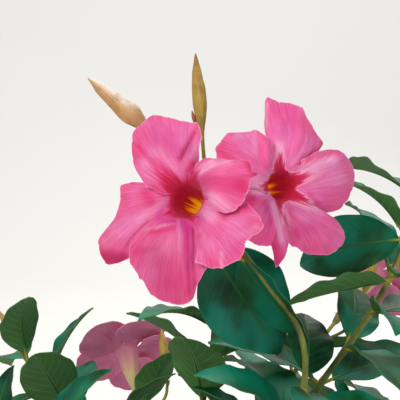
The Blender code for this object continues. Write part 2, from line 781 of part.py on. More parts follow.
def spray_stem(blooms):
    """Return the front spray's stem with its pedicels, buds and the two leaves behind it.

    The stem ends in the left bloom's pedicel. The right bloom's pedicel and the rachis leave it
    just below, and the three buds sit on the rachis.
    """
    left, right = blooms
    foot = (22 * MM, -18 * MM)
    above_foot = (foot[0], foot[1], FOOT_TOP + 14 * MM)
    points = np.array(((42, -32, 185), (67, -54, 244), (69, -65, 291), (50.5, -62, 321),
                       (35.3, -54.5, 340), (31, -48, 349))) * MM
    seat = corolla_base(left)
    route = np.vstack([foot_points(*foot)[1:], [above_foot], points, [seat - left.axis * 4 * MM]])
    path = np.vstack([foot_points(*foot)[:1], smooth_curve(route, np.linspace(0, 1, 22)), [seat]])
    stem = Stem("leafy_stem_spray", path, leafy_to=0.66, solver="MANIFOLD")
    length = path_length(path)
    fork, _ = point_on(path, length - RIGHT_BLOOM_FORK)
    stem.shoots.append(bending_path(fork, (0.1, 0.8, 0.4), corolla_base(right), right.axis, 7))
    start, _ = point_on(path, length - RACHIS_FORK)
    top_seat = seen(2.3, 18, 50)
    top = view_direction(-0.08, 1, 0)
    bends = (start, (25 * MM, -38 * MM, 366 * MM), (18 * MM, -41 * MM, 379 * MM),
             top_seat - top * 3 * MM)
    rachis = np.vstack([smooth_curve(bends, np.linspace(0, 1, 7)), [top_seat]])
    stem.shoots.append(rachis)
    buds = [Bud("bud_top", top_seat + top * GAP, top, 62 * MM, 4 * MM, "bud_green")]
    for settings in (
        ("bud_pale", rachis[5], view_direction(-1, 0.3, 0), seen(-13.6, 25.2, 40),
         view_direction(-0.76, 0.65, -0.05), 62 * MM, 5.9 * MM, "bud_cream", BULGING_BUD),
        ("bud_young", rachis[6], view_direction(-1, 0.5, 0), seen(-1.9, 36, 50),
         view_direction(-0.22, 1, 0), 11 * MM, 1.1 * MM, "bud_red"),
    ):
        shoot, bud = bud_on(*settings)
        stem.shoots.append(shoot)
        buds.append(bud)
    node, _ = point_on(path, length - HAND_LEAVES_NODE)
    stem.leaves.append(Leaf(node, seen(5.2, -25.8, 60), view_direction(0.578, -0.816, -0.05),
                            view_direction(0.1, 0.15, 1), 75 * MM, 54 * MM, 0.35))
    stem.leaves.append(Leaf(node, seen(20.7, -29.5, 52), view_direction(0.54, -0.84, 0.05),
                            view_direction(-0.75, -0.2, 0.6), 60 * MM, 32 * MM, 0.3))
    return stem, buds


def right_stem():
    """Return the tall stem at the right, whose leaves reach in behind the right bloom."""
    path = stem_path((45 * MM, 4 * MM), np.array((141, -14, 388)) * MM, (0.05, 0.1, 1))
    stem = Stem("leafy_stem_right", path, first_turn=0.6)
    for start, heading, facing, length, width, droop in (
        (seen(102.5, -20.5, 85), view_direction(-1, -0.05, 0), view_direction(-0.1, 0.35, 0.93), 72, 38, 1.2),
        (seen(95.5, -41.9, 80), view_direction(-0.99, -0.13, 0), view_direction(-0.2, 0.77, -0.26),
         61, 40, 0.22),
    ):
        near = np.linalg.norm(path - start, axis=1).argmin()
        stem.leaves.append(Leaf(path[near], start, heading, facing, length * MM, width * MM, droop))
    tip_bud = Bud("bud_right", path[-1] + UP * GAP, unit((0.05, 0.1, 1)), 46 * MM, 3.6 * MM,
                  "bud_green")
    return stem, [tip_bud]


def round_the_plant(rng):
    """Return the other stems: five end in a bloom with a bud beside it, two of the rest in a bud."""
    stems, blooms, buds = [], [], []
    for side, foot, mouth, axis in (
        ("left", (-40, -8), (-140, -62, 250), (-0.75, -0.42, 0.5)),
        ("front", (-12, -42), (-38, -168, 226), (-0.15, -0.86, 0.5)),
        ("low_right", (34, -32), (132, -122, 236), (0.62, -0.62, 0.48)),
        ("back_right", (24, 34), (134, 112, 294), (0.58, 0.6, 0.55)),
        ("back", (-14, 40), (-42, 146, 226), (-0.2, 0.8, 0.56)),
    ):
        axis = unit(axis)
        bloom = Bloom(f"bloom_{side}", np.array(mouth) * MM, axis, rng.uniform(0, 72),
                      regular_petals(rng), False, rng.uniform(0.9, 0.98))
        path = stem_path(np.array(foot) * MM, corolla_base(bloom), axis)
        stem = Stem(f"leafy_stem_{side}", path, leafy_to=0.94, first_turn=rng.uniform(0, math.pi))
        start, tangent = point_on(path, 0.9 * path_length(path))
        beside = unit(np.cross(tangent, UP))
        base = start + tangent * 16 * MM + beside * 22 * MM + UP * 14 * MM
        shoot, bud = bud_on(f"bud_{side}", start, tangent + beside, base, tangent + UP,
                            40 * MM, 3.4 * MM, "bud_green")
        stem.shoots.append(shoot)
        stems.append(stem)
        blooms.append(bloom)
        buds.append(bud)
    for side, foot, tip, direction in (
        ("back_left", (-32, 24), (-112, 86, 246), (-0.5, 0.3, 0.8)),
        ("middle", (2, 10), (22, 34, 282), (0.1, 0.2, 1)),
        ("front_left", (-34, -32), (-104, -112, 188), (-0.6, -0.6, 0.3)),
        ("side_right", (50, 18), (148, 40, 216), (0.8, 0.2, 0.4)),
        ("front_middle", (8, -46), (52, -132, 206), (0.2, -0.8, 0.5)),
        ("far_left", (-52, 8), (-146, 18, 200), (-0.8, 0.1, 0.4)),
    ):
        path = stem_path(np.array(foot) * MM, np.array(tip) * MM, direction)
        stems.append(Stem(f"leafy_stem_{side}", path, first_turn=rng.uniform(0, math.pi)))
        direction = unit(direction)
        if side in ("back_left", "middle"):
            seat = path[-1] + direction * GAP
            buds.append(Bud(f"bud_{side}", seat, direction, 30 * MM, 2.8 * MM, "bud_green"))
    return stems, blooms, buds


def stem_radii(path):
    """Return a stem's radius along its path, thinner from foot to tip."""
    share = np.linspace(0, 1, len(path))
    return STEM_ROOT_RADIUS + (STEM_TIP_RADIUS - STEM_ROOT_RADIUS) * share


def build_stem(stem, look):
    """Fuse a stem with its side shoots and its leaves."""
    rings = tube_points(stem.path, stem_radii(stem.path), STEM_SIDES)
    pieces = [(rings.reshape(-1, 3), tube_faces(len(stem.path), STEM_SIDES))]
    for shoot in stem.shoots:
        rings = tube_points(shoot, [PEDICEL_RADIUS] * len(shoot), STEM_SIDES)
        pieces.append((rings.reshape(-1, 3), tube_faces(len(shoot), STEM_SIDES)))
    for leaf in stem.leaves:
        points, triangles, rim = leaf_sheet(leaf)
        pieces.append(shell(points, triangles, rim, BLADE))
    return fuse(stem.name, pieces, look, stem.solver)


def fill_space(stems, blooms, buds):
    """Return the space taken by the pot, the stems, the blooms, the buds and the leaves set by hand."""
    space = Space()
    rim = [(0, POT_HEIGHT), (POT_RIM_RADIUS, POT_HEIGHT),
           (POT_RIM_RADIUS, POT_HEIGHT - POT_COLLAR_HEIGHT), (POT_FOOT_RADIUS, 0)]
    points, faces = turned(rim, POT_SIDES)
    space.add(points, faces)
    for bloom in blooms:
        space.add(*corolla_sheet(bloom)[:2])
    for bud in buds:
        rings = tube_points(bud.base + np.outer((0, 0.5, 1), bud.axis) * bud.length,
                            [bud.radius] * 3, BUD_SIDES)
        space.add(rings.reshape(-1, 3), tube_faces(3, BUD_SIDES))
    for stem in stems:
        for path, radii in [(stem.path, stem_radii(stem.path))] + [
                (shoot, [PEDICEL_RADIUS] * len(shoot)) for shoot in stem.shoots]:
            rings = tube_points(path, radii, STEM_SIDES)
            space.add(rings.reshape(-1, 3), tube_faces(len(path), STEM_SIDES))
        for leaf in stem.leaves:
            space.add(*leaf_sheet(leaf)[:2])
    return space


def main():
    """Build the whole plant in its pot."""
    for old in list(bpy.data.objects):
        bpy.data.objects.remove(old)
    rng = np.random.default_rng(SEED)
    looks = {
        "pot": material("pot", (176, 98, 66), 0.85),
        "soil": material("soil", (58, 42, 32), 0.95),
        "leaf": material("leaf", (24, 82, 50), 0.35),
        "petal": material("petal", (238, 100, 160), 0.55),
        "bud_green": material("bud_green", (160, 150, 60), 0.5),
        "bud_cream": material("bud_cream", (225, 205, 160), 0.5),
        "bud_red": material("bud_red", (150, 80, 60), 0.5),
    }
    front_blooms = spray_blooms()
    first, buds = spray_stem(front_blooms)
    second, more_buds = right_stem()
    others, other_blooms, other_buds = round_the_plant(rng)
    stems = [first, second] + others
    blooms = list(front_blooms) + other_blooms
    buds += more_buds + other_buds
    space = fill_space(stems, blooms, buds)
    for stem in stems:
        set_leaves(stem, space, rng)
    build_pot(looks["pot"])
    build_soil([stem.path[0, :2] for stem in stems], looks["soil"])
    for bloom in blooms:
        build_bloom(bloom, looks["petal"])
    for bud in buds:
        build_bud(bud, looks[bud.colour])
    for stem in stems:
        build_stem(stem, looks["leaf"])


main()
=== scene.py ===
"""The potted dipladenia as it looks: fine blooms, buds, leaves, stems, pot and soil.

The plan of the plant (its stems, blooms and buds, and the seeded rule that sets its leaves) is the plan
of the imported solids. Each fine piece is worked out from it, so it keeps the form of the node that it
stands for and adds what the solids leave out: folds, veins, sepals, finishes and colour.
"""
import logging
import math
from dataclasses import dataclass, field
from enum import Enum

import bpy
import numpy as np
from mathutils import Matrix


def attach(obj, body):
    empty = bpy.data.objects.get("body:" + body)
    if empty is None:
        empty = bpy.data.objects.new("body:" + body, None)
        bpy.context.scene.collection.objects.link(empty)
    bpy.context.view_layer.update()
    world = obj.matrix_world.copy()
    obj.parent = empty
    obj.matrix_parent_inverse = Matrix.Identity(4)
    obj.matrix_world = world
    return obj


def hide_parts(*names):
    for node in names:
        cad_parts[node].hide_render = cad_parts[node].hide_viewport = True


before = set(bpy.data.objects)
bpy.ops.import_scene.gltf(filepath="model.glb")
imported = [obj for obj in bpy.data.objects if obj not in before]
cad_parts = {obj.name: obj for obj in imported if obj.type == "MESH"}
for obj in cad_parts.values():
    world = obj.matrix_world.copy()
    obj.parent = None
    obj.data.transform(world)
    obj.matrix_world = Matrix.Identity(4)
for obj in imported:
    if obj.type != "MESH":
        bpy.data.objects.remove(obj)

LOG = logging.getLogger("dipladenia")
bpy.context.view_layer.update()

Array = np.ndarray
Material = bpy.types.Material
Colour = tuple[float, float, float]
# A ramp's stops: where each lies, and its colour
Stops = tuple[tuple[float, Colour], ...]

MM = 0.001
GAP = 0.3 * MM
SEED = 11
UP = np.array((0.0, 0.0, 1.0))
# A direction that no bloom or bud follows
OFF_AXIS = (0.31, 0.83, 0.47)

# The front view in which the spray was measured
FRONT = np.array((0.0, -0.9903, 0.1392))
RIGHT = np.array((1.0, 0.0, 0.0))
RISE = np.cross(FRONT, RIGHT)
FOCUS = np.array((12.0, -100.0, 375.0)) * MM
VIEW_DISTANCE = 600 * MM
EYE = FOCUS + VIEW_DISTANCE * FRONT
LENS = 105.0

# How far a curve keeps to the directions of its ends, as a share of the way between them
BEND_REACH = 0.42

# Pot and soil
POT_HEIGHT = 138 * MM
POT_FOOT_RADIUS = 56 * MM
POT_RIM_RADIUS = 82 * MM
POT_COLLAR_HEIGHT = 24 * MM
SOIL_TOP = 122 * MM
SOCKET_DEPTH = 22 * MM
FOOT_TOP = SOIL_TOP + 6 * MM

# Stems, leaves and buds. A leaf's lean is in degrees, its droop in radians
STEM_ROOT_RADIUS = 2.6 * MM
STEM_TIP_RADIUS = 1.3 * MM
PEDICEL_RADIUS = 1.1 * MM
STEM_POINTS = 9
SHOOT_POINTS = 5
NODE_SPACING = 28 * MM
FIRST_NODE = 20 * MM
PETIOLE = 9 * MM
LEAF_LENGTH = 74 * MM
LEAF_SLENDERNESS = 0.53
# The part of its length at which a leaf's width stops narrowing
LAST_WIDTH = 0.985
LEAF_ATTEMPTS = 30
LEAF_LEAN = (12, 58)
LEAF_DROOP = (0.5, 1.0)
# The direction against which the turns of leaves round their stem are counted
LEAF_REFERENCE = (0.35, 0.9, 0.1)
# How near a packed stem's point lies to the tip of a leaf that it has
TIP_FIT = 0.6 * MM
RIGHT_BLOOM_FORK = 13 * MM
RACHIS_FORK = 19 * MM
HAND_LEAVES_NODE = 32 * MM
# A bud's outline: parts of its length, and its radius there as a share of the greatest
SLIM_BUD = ((0, 0.3), (0.25, 0.33), (0.43, 0.8), (0.6, 1), (0.8, 0.72), (0.93, 0.34), (1, 0.08))
BULGING_BUD = ((0, 0.3), (0.2, 0.36), (0.36, 0.62), (0.5, 1), (0.68, 0.74), (0.86, 0.5), (1, 0.07))

# Blooms. A petal's slot and the seam beside it are in degrees, its shoulder is a share of the way out
TUBE_LENGTH = 50 * MM
BLADE = 0.8 * MM
MOUTH_RADIUS = 8.8 * MM
LIMB_RISE = 6 * MM
LIMB_RADIUS = 42 * MM
FLARE_REACH = 6 * MM
RIM_PASSES = 5
PETAL_SLOT = 72
SEAM = 1.2
SHOULDER = 0.13
SHOULDER_RADIUS = 13 * MM
# The tube's radii, each at its share of the way down
TUBE_RINGS = ((1.5 * MM, 1.0), (1.9 * MM, 0.7), (4.6 * MM, 0.46), (7.0 * MM, 0.22), (MOUTH_RADIUS, 0.0))

# Shares of the way out at which the turns of a petal's edges are given
EDGE_ROWS = (0, 0.13, 0.25, 0.39, 0.64, 0.83, 1)
NO_TURN = (0.0,) * len(EDGE_ROWS)

# Grids: a corolla's columns, rows and tube rows, a leaf's steps and points across, a stem's points
FRONT_COROLLA = (73, 42, 30)
OTHER_COROLLA = (21, 20, 18)
FRONT_LEAF = (80, 25)
OTHER_LEAF = (36, 11)
STALK_SIDES = 12
STALK_ROWS = 60
SHOOT_ROWS = 24

# Fine relief. Ruffles and creases are in mm, twist and sweep in petals or veins per length
PETAL_THICKNESS = 0.5 * MM
LEAF_THICKNESS = 0.55 * MM
THROAT_DEPTH = 12 * MM
FAR_FROM_EDGE = 30.0
RUFFLE = 0.35
EDGE_WEIGHT = 3
CREASES = 7
CREASE_HEIGHT = 0.16
# Scallops per rim and their depth in mm
NICKS = ((6, 0.7), (13, 0.45))
# The throat's yellow: its tongues, and how far it falls back on the far wall, as painted shade
GLINT_TONGUES = 7
GLINT_FALL = 0.9
# A fine mouth leans off the plan's down to these depths, and as far out as this share
LEAN_DEPTHS = (5 * MM, 35 * MM)
LEAN_END = 0.8
BUD_TWIST = 1.6
MIDRIB_GROOVE = 0.35 * MM
LEAF_QUILT = 0.25 * MM
LEAF_VEINS = 9.0
VEIN_SWEEP = 2.2
POT_SIDES = 96
POT_WALL = 5 * MM
POT_FLOOR = 6 * MM
POT_COLLAR_STEP = 4 * MM
DRAIN_HOLES = 5
DRAIN_RADIUS = 5 * MM
DRAIN_RING = 29 * MM
DRAIN_SIDES = 24
CLAY_SHARP = 40.0
SOIL_RELIEF = 1.6 * MM


def unit(vector: Array) -> Array:
    """Return the vector, or each row of vectors, at length one."""
    vector = np.asarray(vector, dtype=float)
    return vector / np.linalg.norm(vector, axis=-1, keepdims=True)


def lengths(vectors: Array) -> Array:
    """Return the length of each vector."""
    return np.linalg.norm(vectors, axis=-1)


def steps_along(path: Array) -> Array:
    """Return how far along a path each of its points lies."""
    return np.concatenate([[0.0], np.cumsum(lengths(np.diff(path, axis=0)))])


def circle(turns: Array) -> Array:
    """Return the points at turns round a circle of radius one."""
    return np.stack([np.cos(turns), np.sin(turns)], axis=-1)


def spun(points: Array, turn: Array | float) -> Array:
    """Return points of a plane turned about its origin."""
    x, y = points[..., 0], points[..., 1]
    return np.stack([x * np.cos(turn) - y * np.sin(turn), x * np.sin(turn) + y * np.cos(turn)], axis=-1)


def around(sides: int) -> Array:
    """Return the turns of evenly spaced points round a ring."""
    return np.arange(sides) * 2 * math.pi / sides


def square_to(axis: Array) -> tuple[Array, Array]:
    """Return two unit vectors square to an axis and to each other."""
    across = unit(np.cross(axis, OFF_AXIS))
    return across, np.cross(axis, across)


def seen(x: float, y: float, depth: float) -> Array:
    """Return the point seen at x, y mm from FOCUS in the front view, depth mm behind FOCUS."""
    spread = 1.0 + depth * MM / VIEW_DISTANCE
    return FOCUS + (RIGHT * x + RISE * y) * MM * spread - FRONT * depth * MM


def shown(points: Array) -> Array:
    """Return how far right of and above FOCUS the front view shows points, on the plane through it."""
    away = points - EYE
    return away.dot(np.transpose((RIGHT, RISE))) * VIEW_DISTANCE / -away.dot(FRONT)[..., None]


def view_direction(x: float, y: float, out: float) -> Array:
    """Return the unit vector with parts to the right, up and towards the viewer."""
    return unit(RIGHT * x + RISE * y + FRONT * out)


def smooth_curve(points: Array, positions: Array) -> Array:
    """Return points on the Catmull-Rom curve through the given points, spaced by chord length.

    Args:
        points: the points that the curve passes through, one per row.
        positions: where to read the curve, from 0 at its start to 1 at its end.

    Returns:
        One point per position: on each span the cubic whose ends have the slopes of their neighbours.
    """
    points = np.asarray(points, dtype=float)
    padded = np.vstack([2 * points[0] - points[1], points, 2 * points[-1] - points[-2]])
    knots = steps_along(points)
    knots = knots / knots[-1]
    positions = np.asarray(positions, dtype=float)
    span = np.clip(np.searchsorted(knots, positions, side="right") - 1, 0, len(points) - 2)
    t = ((positions - knots[span]) / (knots[span + 1] - knots[span]))[:, None]
    before, start, end, after = (padded[span + k] for k in range(4))
    return 0.5 * (2 * start + (end - before) * t
                  + (2 * before - 5 * start + 4 * end - after) * t ** 2
                  + (3 * start - before - 3 * end + after) * t ** 3)


def point_on(path: Array, distance: float) -> tuple[Array, Array]:
    """Return the point and the direction of a path at a distance along it.

    Args:
        path: one point per row.
        distance: from the first point.

    Returns:
        The point, and the unit vector from 2 mm before it to 2 mm past it.
    """
    along = steps_along(path)
    point, before, after = (
        np.array([np.interp(distance + offset, along, path[:, axis]) for axis in range(3)])
        for offset in (0, -2 * MM, 2 * MM))
    return point, unit(after - before)


def path_length(path: Array) -> float:
    """Return the length of a path."""
    return lengths(np.diff(path, axis=0)).sum()


def bending_path(start: Array, start_direction: Array, end: Array, end_direction: Array,
                 count: int) -> Array:
    """Return points on the cubic curve that leaves and arrives in the given directions.

    Args:
        start: the first point.
        start_direction: the direction there.
        end: the last point.
        end_direction: the direction there.
        count: how many points.

    Returns:
        One point per row, at even steps of the curve's parameter.
    """
    start = np.asarray(start, dtype=float)
    end = np.asarray(end, dtype=float)
    reach = BEND_REACH * lengths(end - start)
    leave = start + reach * unit(start_direction)
    arrive = end - reach * unit(end_direction)
    t = np.linspace(0, 1, count)[:, None]
    return ((1 - t) ** 3 * start + 3 * (1 - t) ** 2 * t * leave
            + 3 * (1 - t) * t ** 2 * arrive + t ** 3 * end)


def smoothstep(value: Array, low: float, high: float) -> Array:
    """Return 0 below low, 1 above high and the cubic ease between."""
    share = np.clip((np.asarray(value, dtype=float) - low) / (high - low), 0, 1)
    return share * share * (3 - 2 * share)


@dataclass
class Surface:
    """A triangulated surface with named values at its points.

    Attributes:
        points: one point per row, in metres.
        triangles: three point numbers per row, anticlockwise from outside.
        values: per point, a number or a vector under each name that a finish reads.
    """

    points: Array
    triangles: Array
    values: dict[str, Array] = field(default_factory=dict)

    def with_value(self, name: str, value: float) -> "Surface":
        """Return this surface with one more value, the same at every point."""
        return Surface(self.points, self.triangles,
                       {**self.values, name: np.full(len(self.points), float(value))})

    def thickened(self, thickness: float | Array) -> "Surface":
        """Return the closed blade whose middle surface this is.

        Every point moves half the thickness along its normal, forwards for the upper face and back
        for the under face, and strips join the two along the border.

        Args:
            thickness: the blade's thickness, one for all points or one for each.

        Returns:
            The blade, with the value underside at 0 on the upper face and 1 on the under face.
        """
        corners = self.points[self.triangles]
        faces = np.cross(corners[:, 1] - corners[:, 0], corners[:, 2] - corners[:, 0])
        normals = np.zeros_like(self.points)
        for corner in range(3):
            np.add.at(normals, self.triangles[:, corner], faces)
        shift = unit(normals) * (np.broadcast_to(thickness, len(self.points)) / 2)[:, None]
        count = len(self.points)
        edges = np.vstack([self.triangles[:, [0, 1]], self.triangles[:, [1, 2]], self.triangles[:, [2, 0]]])
        forward = edges[:, 0] * count + edges[:, 1]
        backward = edges[:, 1] * count + edges[:, 0]
        a, b = edges[~np.isin(forward, backward)].T
        triangles = np.vstack([
            self.triangles, self.triangles[:, ::-1] + count,
            np.column_stack([b, a, a + count]), np.column_stack([b, a + count, b + count]),
        ])
        values = {name: np.concatenate([value, value]) for name, value in self.values.items()}
        values["underside"] = np.repeat((0.0, 1.0), count)
        return Surface(np.vstack([self.points + shift, self.points - shift]), triangles, values)


def joined(surfaces: list[Surface]) -> Surface:
    """Return several surfaces as one.

    Args:
        surfaces: the surfaces, in the order that they take.

    Returns:
        All of them, with 0 where a surface lacks a value that another has.
    """
    offsets = np.cumsum([0] + [len(surface.points) for surface in surfaces[:-1]])
    shapes = {name: value.shape[1:] for surface in surfaces for name, value in surface.values.items()}
    values = {
        name: np.concatenate([surface.values.get(name, np.zeros((len(surface.points), *shape)))
                              for surface in surfaces])
        for name, shape in shapes.items()
    }
    return Surface(np.vstack([surface.points for surface in surfaces]),
                   np.vstack([surface.triangles + offset for surface, offset in zip(surfaces, offsets)]),
                   values)


def strips(lower: Array, upper: Array) -> Array:
    """Return the triangles between rows of point numbers, the upper row lying outward or onward.

    Args:
        lower: point numbers in rows, each row running to the left as seen from outside.
        upper: as many rows of as many numbers, joined to the rows of lower.

    Returns:
        Two triangles per cell, facing out.
    """
    a, b = lower[..., :-1].ravel(), lower[..., 1:].ravel()
    c, d = upper[..., :-1].ravel(), upper[..., 1:].ravel()
    return np.vstack([np.column_stack([a, d, b]), np.column_stack([a, c, d])])


def grid_numbers(rows: int, columns: int, closed: bool = False) -> Array:
    """Return the point numbers of a grid, row by row, with the first column repeated if closed."""
    numbers = np.arange(rows * columns).reshape(rows, columns)
    return np.hstack([numbers, numbers[:, :1]]) if closed else numbers


def capped(points: Array, values: dict[str, Array] | None = None) -> Surface:
    """Return the closed skin over rings of points, with a pole in the middle of each end ring.

    Args:
        points: rings by sides by 3, each ring anticlockwise seen from the end towards which it runs.
        values: per ring, or per ring and side, a number or a vector under each name.

    Returns:
        The skin. A pole takes the mean of its ring's points and values.
    """
    rings, sides = points.shape[:2]
    numbers = grid_numbers(rings, sides, closed=True)
    first, last = rings * sides, rings * sides + 1
    ring, end = numbers[0], numbers[-1]
    triangles = np.vstack([
        strips(numbers[:-1], numbers[1:])[:, ::-1],
        np.column_stack([np.full(sides, first), ring[1:], ring[:-1]]),
        np.column_stack([np.full(sides, last), end[:-1], end[1:]]),
    ])
    every = np.vstack([points.reshape(-1, 3), points[0].mean(axis=0), points[-1].mean(axis=0)])
    filled = {}
    for name, value in (values or {}).items():
        value = np.asarray(value, dtype=float)
        if value.ndim == 1:
            value = np.repeat(value[:, None], sides, axis=1)
        flat = value.reshape(rings * sides, *value.shape[2:])
        filled[name] = np.concatenate([flat, [value[0].mean(axis=0)], [value[-1].mean(axis=0)]])
    return Surface(every, triangles, filled)


def side_axes(path: Array) -> tuple[Array, Array]:
    """Return two unit vectors per point of a path, square to it and to each other.

    They are worked out against the direction that the path leaves out most, which is the last
    singular vector of its directions, so they don't twist along it.

    Args:
        path: one point per row.

    Returns:
        Two arrays, each with one vector per point.
    """
    tangents = unit(np.gradient(path, axis=0))
    spare = np.linalg.svd(tangents, full_matrices=True)[2][-1]
    across = unit(np.cross(tangents, spare))
    return across, np.cross(tangents, across)


def tube(path: Array, radii: Array, sides: int, values: dict[str, Array] | None = None) -> Surface:
    """Return a round tube: at each point of the path a circle of its radius, square to the path.

    Args:
        path: one point per row.
        radii: the radius at each point.
        sides: points round each circle.
        values: per point of the path, numbers under the names that a finish reads.

    Returns:
        The tube, closed at both ends.
    """
    across, other = side_axes(path)
    turns = around(sides)
    rings = (path[:, None]
             + np.asarray(radii)[:, None, None] * (np.cos(turns)[:, None] * across[:, None]
                                                   + np.sin(turns)[:, None] * other[:, None]))
    return capped(rings, values)


def add_object(name: str, data: bpy.types.ID) -> bpy.types.Object:
    """Add an object to the scene.

    Args:
        name: its name.
        data: its mesh, light or camera.

    Returns:
        The object.
    """
    made = bpy.data.objects.new(name, data)
    bpy.context.scene.collection.objects.link(made)
    return made


def mesh_of(name: str, surface: Surface) -> bpy.types.Mesh:
    """Return a new mesh.

    Args:
        name: its name.
        surface: its points and triangles.

    Returns:
        The mesh.
    """
    mesh = bpy.data.meshes.new(name)
    mesh.from_pydata(surface.points.tolist(), [], surface.triangles.tolist())
    return mesh


def make_piece(name: str, surface: Surface, material: Material, node: str = "",
               sharp: float = 60.0) -> bpy.types.Object:
    """Create the object of a finished surface, with its values as attributes, riding on the plant.

    Args:
        name: the piece's name.
        surface: its shape, in the row frame.
        material: its finish.
        node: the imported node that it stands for, if any.
        sharp: edges at a greater angle, in degrees, stay sharp in the shading.

    Returns:
        The object, at the origin, unturned and unscaled.
    """
    mesh = mesh_of(name, surface)
    for value_name, value in surface.values.items():
        kind = "FLOAT" if value.ndim == 1 else "FLOAT_VECTOR"
        attribute = mesh.attributes.new(value_name, kind, "POINT")
        attribute.data.foreach_set("value" if value.ndim == 1 else "vector",
                                   np.ascontiguousarray(value, dtype=np.float32).ravel())
    mesh.materials.append(material)
    mesh.shade_smooth()
    mesh.set_sharp_from_angle(angle=math.radians(sharp))
    mesh.update()
    piece = add_object(name, mesh)
    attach(piece, "root")
    if node:
        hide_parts(node)
    LOG.info("%s: %d triangles", name, len(surface.triangles))
    return piece


def packed_points(node: str) -> Array:
    """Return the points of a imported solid.

    Args:
        node: its name.

    Returns:
        One point per row.
    """
    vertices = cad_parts[node].data.vertices
    points = np.empty(3 * len(vertices), dtype=np.float32)
    vertices.foreach_get("co", points)
    return points.reshape(-1, 3)


@dataclass(frozen=True)
class Stroke:
    """A soft line on a petal, in mm from the mouth's centre as the front view shows it.

    At a distance d from the line it weighs amount times exp(-(d / width) squared).
    """

    start: tuple[float, ...]
    end: tuple[float, ...]
    width: float
    amount: float


def flare_at(radius: Array) -> Array:
    """Return how far a bloom's limb has risen from its mouth at distances from its axis."""
    return LIMB_RISE * (1 - np.exp((MOUTH_RADIUS - radius) / FLARE_REACH))


def strokes(*rows: tuple[float, ...]) -> tuple[Stroke, ...]:
    """Return strokes from rows of x, y, x, y, width and amount, or x, y, width and amount for a spot."""
    return tuple(Stroke(row[:2], row[-4:-2], *row[-2:]) for row in rows)


@dataclass(frozen=True)
class Petal:
    """A petal: its outline in mm from the mouth's centre, anticlockwise, its relief and its marks.

    Attributes:
        outline: the rim's points.
        curl: how far the rim curls back, in mm.
        arch: how high the middle arches, in mm.
        lifts: how far the first and the last edge are lifted, in mm.
        folds: ridges, or grooves where the amount is negative, in mm.
        rose: where the colour is a deeper rose, partly its own and partly painted shade in folds
        and under the neighbouring petals.
        mauve: where it turns to mauve.
        pale: where it pales, partly in paler streaks and partly in painted highlights on ridges
            and bulges.
        shade: painted shade, where it darkens; where the amount is negative, painted light.
        frills: where the fine rim stands further out than the outline, in mm.
        turns: at EDGE_ROWS, how far round the first and the last edge are turned, in degrees, so
            that a petal slips over or under its neighbour.
    """

    outline: tuple
    curl: float
    arch: float
    lifts: tuple[float, float]
    folds: tuple[Stroke, ...] = ()
    rose: tuple[Stroke, ...] = ()
    mauve: tuple[Stroke, ...] = ()
    pale: tuple[Stroke, ...] = ()
    shade: tuple[Stroke, ...] = ()
    frills: tuple[Stroke, ...] = ()
    turns: tuple[tuple[float, ...], tuple[float, ...]] = (NO_TURN, NO_TURN)


